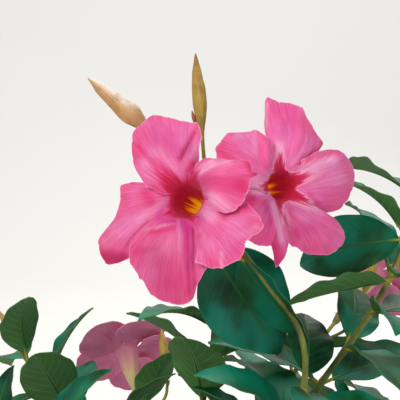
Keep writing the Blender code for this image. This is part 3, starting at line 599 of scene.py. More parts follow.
@dataclass(frozen=True)
class Bloom:
    """A corolla: mouth centre, axis out of the throat, turn of its first petal, and its petals.

    Attributes:
        name: the side of the plant it is on.
        mouth: the middle of the throat's mouth.
        axis: the unit vector out of the throat.
        first_slot: the turn of the first petal round the axis, in degrees.
        petals: the five petals, anticlockwise.
        measured: whether the outlines are the front view's.
        scale: the corolla's size.
        rays: where the red of the throat runs furthest out: the turn from the first petal and the
            angle over which it falls away to either side, in degrees, and how far it runs, in mm.
        glint: the turn round the axis of the lit wall on which the throat's yellow comes furthest
        up as painted light, the angle over which it falls away to either side into painted
        shade, in degrees, and how deeply it is parted into tongues.
        lean: how far right and up, in mm, the fine corolla's mouth lies off the plan's.
        ray_least: how far out, in mm, the red runs between the rays.
    """

    name: str
    mouth: Array
    axis: Array
    first_slot: float
    petals: tuple[Petal, ...]
    measured: bool
    scale: float = 1.0
    rays: tuple[tuple[float, float, float], ...] = (
        (-36, 15, 13), (36, 15, 14), (108, 15, 15), (180, 15, 14), (252, 15, 13))
    glint: tuple[float, float, float] = (0.0, 1000.0, 0.15)
    lean: tuple[float, float] = (0.0, 0.0)
    ray_least: float = 10.6

    def axes(self) -> tuple[Array, Array]:
        """Return the bloom's own right and up, square to its axis, as near as can be to the view's."""
        across = unit(RIGHT - self.axis * self.axis.dot(RIGHT))
        return across, np.cross(self.axis, across)

    def base(self) -> Array:
        """Return the point where the corolla's tube sits on its pedicel."""
        return self.mouth - self.axis * (TUBE_LENGTH + GAP)

    def height(self, petal: Petal, u: Array, v: Array, plan: Array) -> Array:
        """Return how far a petal stands above the mouth's plane at points of its plan.

        The limb flares up from the mouth and curls back towards its rim, by distance from the axis.
        Across each petal come its dome, a product of two sine arches, and the lifts that part its
        edges from the neighbours'.

        Args:
            petal: the petal.
            u: shares of the way across it.
            v: shares of the way out.
            plan: the points, in the bloom's own plane.

        Returns:
            One height per point.
        """
        radius = lengths(plan) / self.scale
        curl = -petal.curl * MM * (radius / LIMB_RADIUS) ** 2
        dome = petal.arch * MM * np.sin(math.pi * v ** 0.8) * np.sin(math.pi * u)
        first, last = petal.lifts
        lift = (first * (1 - u) ** 1.5 + last * u ** 1.5) * MM * v ** 0.5
        return self.scale * (flare_at(radius) + curl + dome + lift)

    def slot_turn(self, number: int) -> float:
        """Return the turn of a petal's slot round the axis."""
        return math.radians(self.first_slot + PETAL_SLOT * number)

    def on_plan(self, points: Array, heights: Array) -> Array:
        """Return where the front view's rays through points meet given heights over the mouth.

        Args:
            points: in metres from the mouth's centre, as the front view shows them.
            heights: the height that each ray is followed to.

        Returns:
            Points of the bloom's own plane.
        """
        across, along = self.axes()
        away = self.mouth - EYE
        centre = away * VIEW_DISTANCE / -away.dot(FRONT)
        rays = centre + points.dot((RIGHT, RISE))
        reach = (heights + away.dot(self.axis)) / rays.dot(self.axis)
        offset = rays * reach[:, None] - away
        return np.column_stack([offset.dot(across), offset.dot(along)])

    def rim(self, number: int, u: Array, extra: Array | float = 0.0) -> Array:
        """Return a petal's rim in the bloom's own plane.

        A measured rim lies where the front view's rays through its outline meet the height that the
        petal has there, with any extra height. Any other rim is turned to its slot.

        Args:
            number: the petal's number.
            u: shares of the way along the rim.
            extra: the extra height.

        Returns:
            One point per share.
        """
        petal = self.petals[number]
        outline = smooth_curve(petal.outline, u) * MM
        if not self.measured:
            return self.scale * spun(outline, self.slot_turn(number))
        rim = outline
        for _ in range(RIM_PASSES):
            rim = self.on_plan(outline, self.height(petal, u, 1.0, rim) + extra)
        return rim

    def chart(self, number: int, plan: Array, points: Array) -> Array:
        """Return points of a petal in mm in the chart of its outline and strokes.

        A measured bloom's chart is the front view, from the mouth's centre: each point is followed
        along its ray to the plane through FOCUS. Any other's is the petal's own plan.

        Args:
            number: the petal's number.
            plan: the points in the bloom's own plane.
            points: the same points in the row frame.

        Returns:
            The points' two numbers in the chart.
        """
        if not self.measured:
            return spun(plan, -self.slot_turn(number)) / (self.scale * MM)
        return (shown(points) - shown(self.mouth)) / MM

    def placed(self, plan: Array, heights: Array) -> Array:
        """Return points of the bloom's own plane in the row frame.

        Args:
            plan: the points.
            heights: how far over the mouth each stands.

        Returns:
            One point for each.
        """
        across, along = self.axes()
        return (self.mouth + plan[..., :1] * across + plan[..., 1:] * along
                + heights[..., None] * self.axis)

    def shoulder(self, number: int, u: Array) -> Array:
        """Return a petal's shoulder in the bloom's own plane, an arc that fills its slot."""
        turn = self.slot_turn(number) + math.radians(PETAL_SLOT / 2 - SEAM) * (2 * u - 1)
        return SHOULDER_RADIUS * self.scale * circle(turn)


class BudColour(Enum):
    """The colours that a bud can have, by its material slot."""

    GREEN = "bud_green"
    CREAM = "bud_cream"
    RED = "bud_red"


@dataclass(frozen=True)
class Bud:
    """A closed bud: base, direction, length, greatest radius, colour and outline."""

    name: str
    base: Array
    axis: Array
    length: float
    radius: float
    colour: BudColour
    outline: tuple = SLIM_BUD


@dataclass(frozen=True)
class Leaf:
    """A leaf: root in the stem, blade start, heading, facing, size and curvature of its midrib.

    Its paleness, from 0 to 1, is drawn by chance when it is below 0. Its grid is its steps along the
    blade and its points across it.
    """

    root: Array
    start: Array
    heading: Array
    facing: Array
    length: float
    width: float
    droop: float
    fold: float = 0.22
    paleness: float = -1.0
    grid: tuple[int, int] = OTHER_LEAF

    def frame(self) -> tuple[Array, Array]:
        """Return the facing squared to the heading, and the side square to both."""
        facing = unit(self.facing - self.heading * self.facing.dot(self.heading))
        return facing, np.cross(self.heading, facing)

    def half_width(self, parts: Array) -> Array:
        """Return half the width at parts of the length: oval, drawn out to a tip.

        It is half the greatest width times sin(pi part^0.86)^0.75 times 1 - 0.25 part^3.

        Args:
            parts: shares of the length, held below LAST_WIDTH.

        Returns:
            One half width per part.
        """
        part = np.clip(parts, 0.0, LAST_WIDTH)
        return self.width / 2 * (np.sin(math.pi * part ** 0.86) ** 0.75 * (1 - 0.25 * part ** 3))

    def spine(self, parts: Array) -> tuple[Array, Array]:
        """Return the midrib, a circular arc that droops.

        Args:
            parts: shares of the length.

        Returns:
            Its points, and the upward normals there.
        """
        facing, _ = self.frame()
        bend = np.asarray(parts, dtype=float)[:, None] * self.droop
        radius = self.length / self.droop
        spine = self.start + radius * (np.sin(bend) * self.heading - (1 - np.cos(bend)) * facing)
        return spine, np.cos(bend) * facing + np.sin(bend) * self.heading

    def blade(self, parts: Array, across: Array) -> Array:
        """Return the blade's middle surface at parts of its length and shares of its half width.

        Both halves rise from the midrib by fold times the share^1.4, with a slow ripple along them.

        Args:
            parts: shares of the length.
            across: shares of the half width, below 0 on one side.

        Returns:
            Points, in rows along the blade.
        """
        _, side = self.frame()
        spine, lifted = self.spine(parts)
        parts = np.asarray(parts, dtype=float)[:, None]
        half = self.half_width(parts)
        ripple = 0.05 * np.sin(parts * 9 + self.width * 400) * np.sign(across) * across ** 2
        rise = self.fold * np.abs(across) ** 1.4 + ripple
        return (spine[:, None] + (half * across)[:, :, None] * side
                + (half * rise)[:, :, None] * lifted[:, None])


@dataclass
class Stem:
    """A leafy stem: its path from the soil to its tip, side shoots, and leaves given one by one."""

    name: str
    path: Array
    shoots: list[Array] = field(default_factory=list)
    leaves: list[Leaf] = field(default_factory=list)
    leafy_to: float = 1.0
    first_turn: float = 0.0


def foot_points(x: float, y: float) -> list[tuple[float, float, float]]:
    """Return the upright foot of a stem, from the bottom of its socket to just above the soil."""
    return [(x, y, SOIL_TOP - SOCKET_DEPTH + GAP), (x, y, FOOT_TOP)]


def stem_path(foot: Array, tip: Array, tip_direction: Array) -> Array:
    """Return a stem's path: an upright foot, then one bend out to its tip.

    Args:
        foot: where it stands on the soil.
        tip: where it ends.
        tip_direction: the direction there.

    Returns:
        One point per row.
    """
    points = foot_points(*foot)
    bend = bending_path(points[-1], UP, tip, tip_direction, STEM_POINTS)
    return np.vstack([points[:1], bend])


def bud_on(name: str, start: Array, start_direction: Array, base: Array, axis: Array, length: float,
           radius: float, colour: BudColour, outline: tuple = SLIM_BUD) -> tuple[Array, Bud]:
    """Return a shoot's path and the bud that sits on its end, a gap away.

    Args:
        name: the bud's name.
        start: where the shoot leaves its stem.
        start_direction: how it leaves.
        base: where it ends.
        axis: the bud's direction.
        length: the bud's length.
        radius: its greatest radius.
        colour: its colour.
        outline: its radii along it.

    Returns:
        The path and the bud.
    """
    axis = unit(axis)
    path = bending_path(start, start_direction, base, axis, SHOOT_POINTS)
    return path, Bud(name, np.asarray(base) + axis * GAP, axis, length, radius, colour, outline)


# The petals of the two front blooms, as the front view shows them
# Rose strokes are partly painted shade, pale strokes partly painted highlights, shade strokes painted
# shade, or painted light where negative
LEFT_PETALS = (
    Petal(
        ((16, -5.5), (21.6, -6.7), (28.2, -2.6), (32.3, 5.7), (32.8, 12.1), (31.1, 19.9), (23.2, 20.3),
         (10.8, 21.6), (5.5, 18.5)),
        6, 6, (4, 4),
        folds=strokes((12, -1, 19, -4, 4.5, 2.6), (9, 19, 30, 19, 4, -2.2), (13, 9, 29, 8, 7, 1.2)),
        rose=strokes(
            (10, 10, 27, 7, 5, 0.68), (7.9, 15.3, 11.5, 18.4, 0.4, 0.6), (32.2, 18.5, 36, 13, 2.4, 1.2),
            (28, 8, 31, 4, 3, 0.5)),
        turns=((-8, -6, 0, 0, 0, 0, 0), (8, 1, -3, -3, -2, 0, 0)),
        frills=strokes(
            (31.1, 19.9, 1.4, 0.8), (33, 12.4, 33, 12.8, 1, 3.9), (32.4, 15.2, 31.6, 18.4, 1.2, 1.6)),
        pale=strokes(
            (4.4, 13, 13, 18.5, 2, 1.2), (13, 18.5, 22, 19.6, 1.8, 0.6), (13, 1, 20, -4, 3.4, 0.7)),
        shade=strokes((33.4, 17, 36.5, 13, 1.8, 0.8)),
    ),
    Petal(
        ((8.2, 31.9), (5.7, 38.1), (-6.2, 41.7), (-17.8, 42.7), (-26.8, 33.5), (-26.8, 18.5), (-20.5, 7)),
        5, 3, (-2, 3),
        folds=strokes(
            (5.2, 35.9, -3.4, 20.7, 1.6, -2.2), (8.6, 31, 0.4, 17, 2.2, 2.8),
            (-24.3, 27, -12.8, 12.9, 1.3, -0.9), (-22, 19, -12, 9.5, 2.2, 0.9),
            (-17, 21, -11, 12, 1, -0.6), (1, 16, 1.6, 12.5, 2.2, -1.6)),
        rose=strokes(
            (3.6, 18, 0.8, 11, 2.2, 1.3), (4.4, 34, -3, 21.5, 1.3, 0.8), (-16, 6, -9, 4, 2.8, 0.7),
            (-24.3, 27, -12.8, 12.9, 1, 0.6), (-24, 33, -25, 24, 3.5, 0.35),
            (-17.5, 21.5, -11.5, 12.5, 0.8, 0.4)),
        mauve=strokes((-14, 33, -5, 26, 7, 0.5)),
        turns=((0, -8, -8, -6, -3, -1, 0), (8, 21, 17, 12, 5, 2, 0)),
        frills=strokes((-26.6, 34, 3, 1.2), (5.9, 38.5, 2.4, 1.4), (-17.6, 42.9, 2, 0.7)),
        pale=strokes(
            (-20.5, 18, -12.5, 9.5, 2.2, 0.75), (-13, 24, -7, 17, 3.5, 0.4), (7, 29.5, 2.2, 22, 1, 0.4)),
        shade=strokes(
            (4.4, 34, -3, 21.5, 1.5, 0.3), (5, 28, 2, 16, 3, 0.25), (1, 26, 4.5, 22, 2.4, 0.45)),
    ),
    Petal(
        ((-16, 8), (-24, 8.9), (-29, 8.6), (-33.4, 6.7), (-34, -1), (-36.6, -9.3), (-44.9, -21.6),
         (-39.9, -32.6), (-28.4, -29.5), (-19, -23), (-14, -15)),
        6, 2, (-3, -3),
        folds=strokes(
            (-9, -2, -34, -19, 3.5, 1.6), (-11, -9, -30, -25, 2, -0.8), (-19, 4, -31, -2, 4, -0.9),
            (-9, 4, -18, 8.5, 2.6, 1.9)),
        rose=strokes(
            (-20.5, 3, -17.5, -1.5, 3, 0.8), (-43, -28, -33, -29.5, 4.2, 1),
            (-40, -31.5, -31, -30.5, 2, 0.6), (-30, -22, -18, -17, 2.6, 0.3)),
        mauve=strokes((-10, -4, -16, -12, 4.5, 0.9)),
        frills=strokes(
            (-33.4, 7, 1.6, 1.3), (-27.4, 8.9, 0.9, 1.2), (-40.2, -32.6, 2, 1.2),
            (-44.6, -19.8, 2.2, 0.3)),
        pale=strokes((-12, -2, -24, -10, 2.4, 0.45), (-36, -16, -41, -22, 3.5, 0.25)),
        shade=strokes((-43, -30, -32, -31, 4.5, 1)),
    ),
    Petal(
        ((-18, -9), (-21.8, -16.6), (-28, -20.5), (-28.6, -31.4), (-23.5, -39.6), (-17, -48.7),
         (-8.2, -53.5), (2.1, -52.5), (6.1, -42.9), (11, -34), (12, -22)),
        5, 3, (2, -3),
        folds=strokes(
            (-20, -15, -6, -12, 1.5, 0.9), (-18, -17, -7, -14.5, 1.8, -0.7),
            (-3.8, -10, -2.6, -24, 1.5, 1.1), (0.4, -13, 1.6, -48, 0.9, -0.7),
            (3.4, -14, 5, -44, 0.9, -0.6), (2, -13, 3.2, -46, 0.9, 0.5), (-21, -24, -8, -21, 2, 0.8)),
        rose=strokes(
            (-17.5, -16.5, -6.5, -14.5, 1.8, 0.8), (-25, -27, -17, -25, 2.2, 0.5),
            (0.4, -14, 1.6, -48, 1, 0.5), (3.4, -14, 5, -44, 1, 0.4), (-12, -43, -2, -40, 6, 0.4),
            (-14, -51, 4, -50, 8, 0.4), (-22, -26, -10, -32, 7, 0.35)),
        mauve=strokes((-12, -9, 2, -12, 4.5, 1), (1, -12, 1.5, -34, 3.4, 0.75)),
        turns=((-26, -23, -18, -12, -6, -2, 0), (6, 24, 20, 14, 6, 2, 0)),
        frills=strokes(
            (-27.6, -19.6, 1.6, 1.2), (-28.2, -32.4, 1.4, 0.9), (-23.5, -39.8, 1, 0.9),
            (-17.6, -47.6, 1.5, 0.8)),
        pale=strokes(
            (-4, -10.5, -2.8, -26, 1, 0.42), (-21, -15.5, -11, -13, 0.8, 0.45),
            (-11, -13, -6, -12.4, 0.5, 0.4), (-17, -26, -8, -24, 3.5, 0.25)),
        shade=strokes((-14, -30, -6, -50, 11, 0.6), (2, -20, 3, -50, 3, 0.3)),
    ),
    Petal(
        ((4.4, -31.4), (14.3, -35.1), (27.4, -30.6), (31.5, -21.6), (39.5, -13.4), (33, -3), (22, 3)),
        4, 3, (2, -3),
        folds=strokes(
            (5.4, -17, 8, -14, 1.6, 1.6), (10, -10, 15, -30, 5, 0.8), (24, -4, 34, -13, 3, -0.8),
            (18, -25, 18.6, -35, 1.1, 0.7), (23, -22, 30, -12, 3.5, 0.7)),
        rose=strokes(
            (20, -7.5, 32, -3.5, 2.6, 1), (34, -13, 38, -13, 3, 0.5), (12, -31, 16, -34, 2.2, 0.4),
            (6.5, -18, 7, -24, 1.5, 0.5)),
        mauve=strokes((4, -12, 8, -9, 3.5, 0.9), (24, -27, 32, -16, 3.5, 0.25)),
        turns=((4, 20, 1, 6.5, 7.7, 4, 0), (8, 16, 12, 7, 3, 0, 0)),
        frills=strokes(
            (39.7, -13.6, 2, 0.3), (31.6, -21.8, 1.4, -0.9), (18.2, -34.6, 0.8, 0.8),
            (27.6, -30.8, 1.2, 0.7), (4.2, -32.4, 1.4, 1)),
        pale=strokes(
            (11, -7, 13.5, -8.5, 3.2, 0.7), (18, -27, 18.6, -35, 0.9, 0.6), (27, -19, 36, -14, 2.2, 0.3)),
    ),
)


def left_bloom() -> Bloom:
    """Return the left of the two open front blooms, with its petals as the front view shows them."""
    return Bloom("front_left", seen(-7.2, 0, 0), view_direction(-0.408, 0.259, 0.875), 36,
                 LEFT_PETALS, True,
                 rays=((-36, 10, 11), (26, 24, 15), (93, 19, 20.5), (180, 20, 13), (252, 14, 12.5)),
                 glint=(150, 58, 0), lean=(0.9, -0.7), ray_least=9.9)


# Shade strokes with negative amounts here are painted light that brightens these petals
RIGHT_PETALS = (
    Petal(
        ((20, -14), (28, -12), (34, -4), (36, 6), (33, 14), (27, 18.5), (18, 18), (9, 15)),
        5, 3, (-3, 2),
        folds=strokes((8, 10, 30, 14, 3, 1.1), (12, -6, 28, -9, 2.5, 0.9), (13, -5, 18, -9, 1.5, -0.8)),
        rose=strokes((10, 12.5, 28, 17.5, 1.6, 0.7), (13, -4, 17, -9, 1.6, 0.6)),
        mauve=strokes((14, 0, 22, -6, 5, 0.35)),
        turns=((0, -12, -10, -7, -3, 0, 0), (40, 27, 20, 12, 3, 0, 0)),
        frills=strokes((8.5, 14.8, 13, 16.8, 2.2, -2.2)),
        pale=strokes((9, 9, 24, 13, 3.2, 0.8), (15, 2, 30, 3, 4, 0.35)),
    ),
    Petal(
        ((18, 19.3), (19.6, 22.1), (16.4, 27), (11.3, 35.3), (6.5, 41.4), (-1.7, 43), (-9, 43.8),
         (-10.3, 31)),
        6, 3, (-3, -3),
        folds=strokes(
            (-1.6, 14, -1, 34, 2.4, 1), (-6, 14, -8.5, 30, 1.8, -0.8), (5, 15, 12, 28, 4, 0.8),
            (9, 14, 17, 18, 1.6, -0.6)),
        rose=strokes((6, 20, 9, 32, 4.5, 0.35), (10, 14.5, 18, 18.5, 1.8, 0.5)),
        mauve=strokes((0, 30, 2, 38, 6, 0.4)),
        turns=((0, -15, -12, -8, -3, 0, 0), (42, 42, 26, 14, 8, 3, 0)),
        frills=strokes(
            (-9.4, 44.4, 2.2, 1.8), (10.2, 39, 2.2, 2.4), (15.4, 31, 1.6, 1.2), (19.8, 22.2, 1.5, 0.6)),
        pale=strokes(
            (-1.9, 21, -3.2, 13, 2, 0.85), (-9.4, 30, -9.2, 42, 1.2, 0.6), (4, 12, 10, 18, 2, 0.3)),
        shade=strokes((4, 16, 2, 36, 12, -0.45)),
    ),
    Petal(
        ((-7, 24), (-14.8, 28.3), (-28.8, 26.3), (-35, 18.8), (-33.5, 10), (-30, 0), (-20, -6)),
        4, 3, (3, -3),
        folds=strokes(
            (-9.5, 26, -6.5, 12, 2.2, 1.6), (-12.5, 24, -10.5, 10, 2, -1), (-28, 16, -12, 4, 6, 0.8)),
        rose=strokes((-12.5, 20, -10, 9, 2, 0.5), (-32, 19, -30, 12, 3.5, 0.4)),
        turns=((36, 31, 17, 8, 5, 3, 0), (32, 36, 27, 17, 7, 2, 0)),
        frills=strokes(
            (-28.4, 26.2, 2, 1.2), (-14.6, 28.4, 2, 0.9), (-22, 27.6, -20, 27.6, 1, -0.6),
            (-34.6, 19.6, 1.6, 0.6)),
        pale=strokes(
            (-15.7, 27, -14.5, 18, 1.6, 0.45), (-17.5, 2.5, -9, 3, 3.6, 0.55),
            (-25, 25.5, -19, 26, 1.6, 0.4)),
        shade=strokes((-13, 24, -11, 12, 4.5, -0.5), (-28, 20, -24, 6, 6, -0.1)),
    ),
    Petal(
        ((-18, -2), (-22, -9), (-23, -17), (-20, -26), (-13.2, -30.8), (-6.7, -32.1), (-4.2, -40.7),
         (0, -37), (2.4, -29)),
        4, 3, (3, 3),
        folds=strokes(
            (-7, -8, -1.5, -30, 1.8, 1.5), (-13, -6, -19, -9, 3, 1), (-10, -10, -12, -26, 3, -0.7)),
        rose=strokes(
            (-4.5, -32, -3.6, -39, 3.4, 1), (-19, -10, -13, -24, 6, 0.55),
            (-16, -6.5, -10, -9, 2.2, 0.55), (-18.5, -6, -17, -9, 2, 0.5)),
        mauve=strokes((-8, -14, -6, -28, 3, 0.4)),
        turns=((20, 27, 21, 13, 5, 2, 0), (0, 4, 2, 0, 0, 0, 0)),
        frills=strokes((-4.3, -41.2, 1.4, 1.2), (-7.2, -31.8, 1.4, -1.2)),
        pale=strokes((-6, -9, -1.2, -28, 1.3, 0.75), (-16, -3.2, -9, -4.2, 1, 0.7)),
        shade=strokes((-16, -8, -9, -26, 8, -0.5)),
    ),
    Petal(
        ((2, -29), (9, -33.7), (15.6, -35.4), (23, -35), (29, -31), (31, -25), (27, -18), (20, -13)),
        4, 3, (-3, 2),
        folds=strokes(
            (1.2, -12, 4.5, -20, 1.8, 1.6), (4.5, -15, 7.5, -24, 1.8, -1.4), (10, -11, 20, -28, 4, 0.9)),
        rose=strokes(
            (2.6, -14, 5, -16.5, 1.8, 0.85), (5.6, -23, 7.2, -26, 1.8, 0.7), (12, -33, 22, -33, 3, 0.4)),
        mauve=strokes((6, -10, 12, -22, 4.5, 0.6)),
        turns=((0, -14, -10, -6, -2, 0, 0), (0, 4, 2, 0, 0, 0, 0)),
        frills=strokes((7.6, -32.4, 1.4, -1), (4, -30.2, 1.2, 0.9)),
        pale=strokes(
            (4, -8.5, 12, -11, 1.6, 0.7), (1, -12, 2.6, -22, 1, 0.5), (6, -15, 10, -16.5, 3.2, 0.4)),
    ),
)


def right_bloom() -> Bloom:
    """Return the right of the two open front blooms, with its petals as the front view shows them."""
    return Bloom("front_right", seen(43.3, 7.2, 28), view_direction(0.468, 0.087, 0.88), 0,
                 RIGHT_PETALS, True, 0.95,
                 rays=((-35, 14, 18.5), (24, 14, 18), (103, 14, 17.5), (186, 12, 17), (254, 12, 19)),
                 glint=(2, 60, 0.34), lean=(-2.1, 0), ray_least=9.6)


def regular_petals(rng: np.random.Generator) -> tuple[Petal, ...]:
    """Return five like petals, each a broad blade with its corner to one side, slightly varied.

    Args:
        rng: draws each petal's size, curl and arch.

    Returns:
        The petals, anticlockwise.
    """
    turns = np.radians((-48, -40, -22, -4, 14, 32, 46, 50))
    reaches = np.array((20, 31, 40, 43, 45, 41, 30, 19))
    petals = []
    for _ in range(5):
        size = rng.uniform(0.94, 1.04)
        outline = tuple(zip(size * reaches * np.cos(turns), size * reaches * np.sin(turns)))
        petals.append(Petal(
            outline, rng.uniform(5, 9), rng.uniform(2, 4), (-3, 3),
            folds=strokes(
                (10, 0, 38, 4, 1.4, -0.7), (14, 4, 36, 14, 2.6, 0.7), (14, -4, 34, -11, 3, 0.8),
                (24, 8, 40, 12, 1.2, -0.5)),
            # Painted light: the first rose stroke lies in a groove as painted shade, the pale strokes on
            # two ridges as painted highlights
            rose=strokes((12, 0, 30, 3, 2.2, 0.45), (26, -20, 34, -12, 3.5, 0.35)),
            mauve=strokes((20, -6, 32, -2, 5, 0.35)),
            pale=strokes((14, 5, 30, 12, 2.6, 0.5), (15, -6, 28, -10, 2.4, 0.4))))
    return tuple(petals)


class Plan:
    """The whole plant's plan: its stems with their leaves, its blooms and its buds."""

    def __init__(self) -> None:
        """Lay out the stems in their order and set every leaf by the seeded rule."""
        self.rng = np.random.default_rng(SEED)
        self.blooms = [left_bloom(), right_bloom()]
        self.buds: list[Bud] = []
        self.stems = [self.spray_stem(*self.blooms), self.right_stem()]
        self.round_the_plant()
        for stem in self.stems:
            self.set_leaves(stem)

    def spray_stem(self, left: Bloom, right: Bloom) -> Stem:
        """Return the front spray's stem with its pedicels, buds and the two leaves behind it.

        The stem ends in the left bloom's pedicel. The right bloom's pedicel and the rachis leave it
        just below, and the three buds sit on the rachis.

        Args:
            left: the left bloom.
            right: the right bloom.

        Returns:
            The stem.
        """
        foot = (22 * MM, -18 * MM)
        above_foot = (foot[0], foot[1], FOOT_TOP + 14 * MM)
        points = np.array(((42, -32, 185), (67, -54, 244), (69, -65, 291), (50.5, -62, 321),
                           (35.3, -54.5, 340), (31, -48, 349))) * MM
        seat = left.base()
        route = np.vstack([foot_points(*foot)[1:], [above_foot], points, [seat - left.axis * 4 * MM]])
        path = np.vstack([foot_points(*foot)[:1], smooth_curve(route, np.linspace(0, 1, 22)), [seat]])
        stem = Stem("spray", path, leafy_to=0.66)
        length = path_length(path)
        fork, _ = point_on(path, length - RIGHT_BLOOM_FORK)
        stem.shoots.append(bending_path(fork, (0.1, 0.8, 0.4), right.base(), right.axis, 7))
        start, _ = point_on(path, length - RACHIS_FORK)
        top_seat = seen(2.3, 18, 50)
        top = view_direction(-0.08, 1, 0)
        bends = (start, (25 * MM, -38 * MM, 366 * MM), (18 * MM, -41 * MM, 379 * MM),
                 top_seat - top * 3 * MM)
        rachis = np.vstack([smooth_curve(bends, np.linspace(0, 1, 7)), [top_seat]])
        stem.shoots.append(rachis)
        self.buds.append(Bud("top", top_seat + top * GAP, top, 62 * MM, 4 * MM, BudColour.GREEN))
        for settings in (
            ("pale", rachis[5], view_direction(-1, 0.3, 0), seen(-13.6, 25.2, 40),
             view_direction(-0.76, 0.65, -0.05), 62 * MM, 5.9 * MM, BudColour.CREAM, BULGING_BUD),
            ("young", rachis[6], view_direction(-1, 0.5, 0), seen(-1.9, 36, 50),
             view_direction(-0.22, 1, 0), 11 * MM, 1.1 * MM, BudColour.RED),
        ):
            shoot, bud = bud_on(*settings)
            stem.shoots.append(shoot)
            self.buds.append(bud)
        node, _ = point_on(path, length - HAND_LEAVES_NODE)
        stem.leaves += (
            Leaf(node, seen(5.2, -25.8, 60), view_direction(0.578, -0.816, -0.05),
                 view_direction(0.1, 0.15, 1), 75 * MM, 54 * MM, 0.35, grid=FRONT_LEAF),
            Leaf(node, seen(20.7, -29.5, 52), view_direction(0.54, -0.84, 0.05),
                 view_direction(-0.75, -0.2, 0.6), 60 * MM, 32 * MM, 0.3, grid=FRONT_LEAF))
        return stem

    def right_stem(self) -> Stem:
        """Return the tall stem at the right, whose leaves reach in behind the right bloom."""
        path = stem_path((45 * MM, 4 * MM), np.array((141, -14, 388)) * MM, (0.05, 0.1, 1))
        stem = Stem("right", path, first_turn=0.6)
        for start, heading, facing, length, width, droop, paleness in (
            (seen(102.5, -20.5, 85), view_direction(-1, -0.05, 0), view_direction(-0.1, 0.35, 0.93),
             72, 38, 1.2, 0.3),
            (seen(95.5, -41.9, 80), view_direction(-0.99, -0.13, 0), view_direction(-0.2, 0.77, -0.26),
             61, 40, 0.22, 0.95),
        ):
            near = lengths(path - start).argmin()
            stem.leaves.append(Leaf(path[near], start, heading, facing, length * MM, width * MM, droop,
                                    paleness=paleness, grid=FRONT_LEAF))
        self.buds.append(Bud("right", path[-1] + UP * GAP, unit((0.05, 0.1, 1)), 46 * MM, 3.6 * MM,
                             BudColour.GREEN))
        return stem

    def round_the_plant(self) -> None:
        """Add the other stems: five end in a bloom with a bud beside it, two of the rest in a bud."""
        rng = self.rng
        for side, foot, mouth, axis in (
            ("left", (-40, -8), (-140, -62, 250), (-0.75, -0.42, 0.5)),
            ("front", (-12, -42), (-38, -168, 226), (-0.15, -0.86, 0.5)),
            ("low_right", (34, -32), (132, -122, 236), (0.62, -0.62, 0.48)),
            ("back_right", (24, 34), (134, 112, 294), (0.58, 0.6, 0.55)),
            ("back", (-14, 40), (-42, 146, 226), (-0.2, 0.8, 0.56)),
        ):
            axis = unit(axis)
            bloom = Bloom(side, np.array(mouth) * MM, axis, rng.uniform(0, 72), regular_petals(rng),
                          False, rng.uniform(0.9, 0.98))
            path = stem_path(np.array(foot) * MM, bloom.base(), axis)
            stem = Stem(side, path, leafy_to=0.94, first_turn=rng.uniform(0, math.pi))
            start, tangent = point_on(path, 0.9 * path_length(path))
            beside = unit(np.cross(tangent, UP))
            base = start + tangent * 16 * MM + beside * 22 * MM + UP * 14 * MM
            shoot, bud = bud_on(side, start, tangent + beside, base, tangent + UP, 40 * MM, 3.4 * MM,
                                BudColour.GREEN)
            stem.shoots.append(shoot)
            self.stems.append(stem)
            self.blooms.append(bloom)
            self.buds.append(bud)
        for side, foot, tip, direction in (
            ("back_left", (-32, 24), (-112, 86, 246), (-0.5, 0.3, 0.8)),
            ("middle", (2, 10), (22, 34, 282), (0.1, 0.2, 1)),
            ("front_left", (-34, -32), (-104, -112, 188), (-0.6, -0.6, 0.3)),
            ("side_right", (50, 18), (148, 40, 216), (0.8, 0.2, 0.4)),
            ("front_middle", (8, -46), (52, -132, 206), (0.2, -0.8, 0.5)),
            ("far_left", (-52, 8), (-146, 18, 200), (-0.8, 0.1, 0.4)),
        ):
            path = stem_path(np.array(foot) * MM, np.array(tip) * MM, direction)
            self.stems.append(Stem(side, path, first_turn=rng.uniform(0, math.pi)))
            direction = unit(direction)
            if side in ("back_left", "middle"):
                seat = path[-1] + direction * GAP
                self.buds.append(Bud(side, seat, direction, 30 * MM, 2.8 * MM, BudColour.GREEN))

    def rule_leaf(self, path: Array, distance: float, turn: float, length: float) -> Leaf:
        """Return one leaf of a pair, set round its stem with small seeded variations.

        Args:
            path: the stem's path.
            distance: how far along it the leaf stands.
            turn: its turn round the stem.
            length: its length.

        Returns:
            The leaf.
        """
        rng = self.rng
        root, tangent = point_on(path, distance)
        across = unit(np.cross(tangent, LEAF_REFERENCE))
        other = np.cross(tangent, across)
        outward = math.cos(turn) * across + math.sin(turn) * other
        lean = math.radians(rng.uniform(*LEAF_LEAN))
        heading = unit(outward * math.cos(lean) + tangent * math.sin(lean) * 0.6 + UP * 0.2)
        radial = np.array((root[0], root[1], 0.0))
        facing = UP + 0.5 * unit(radial + 1e-6) + rng.uniform(-0.2, 0.2, 3)
        width = length * LEAF_SLENDERNESS * rng.uniform(0.94, 1.08)
        droop = rng.uniform(*LEAF_DROOP)
        return Leaf(root, root + heading * PETIOLE, heading, facing, length, width, droop)

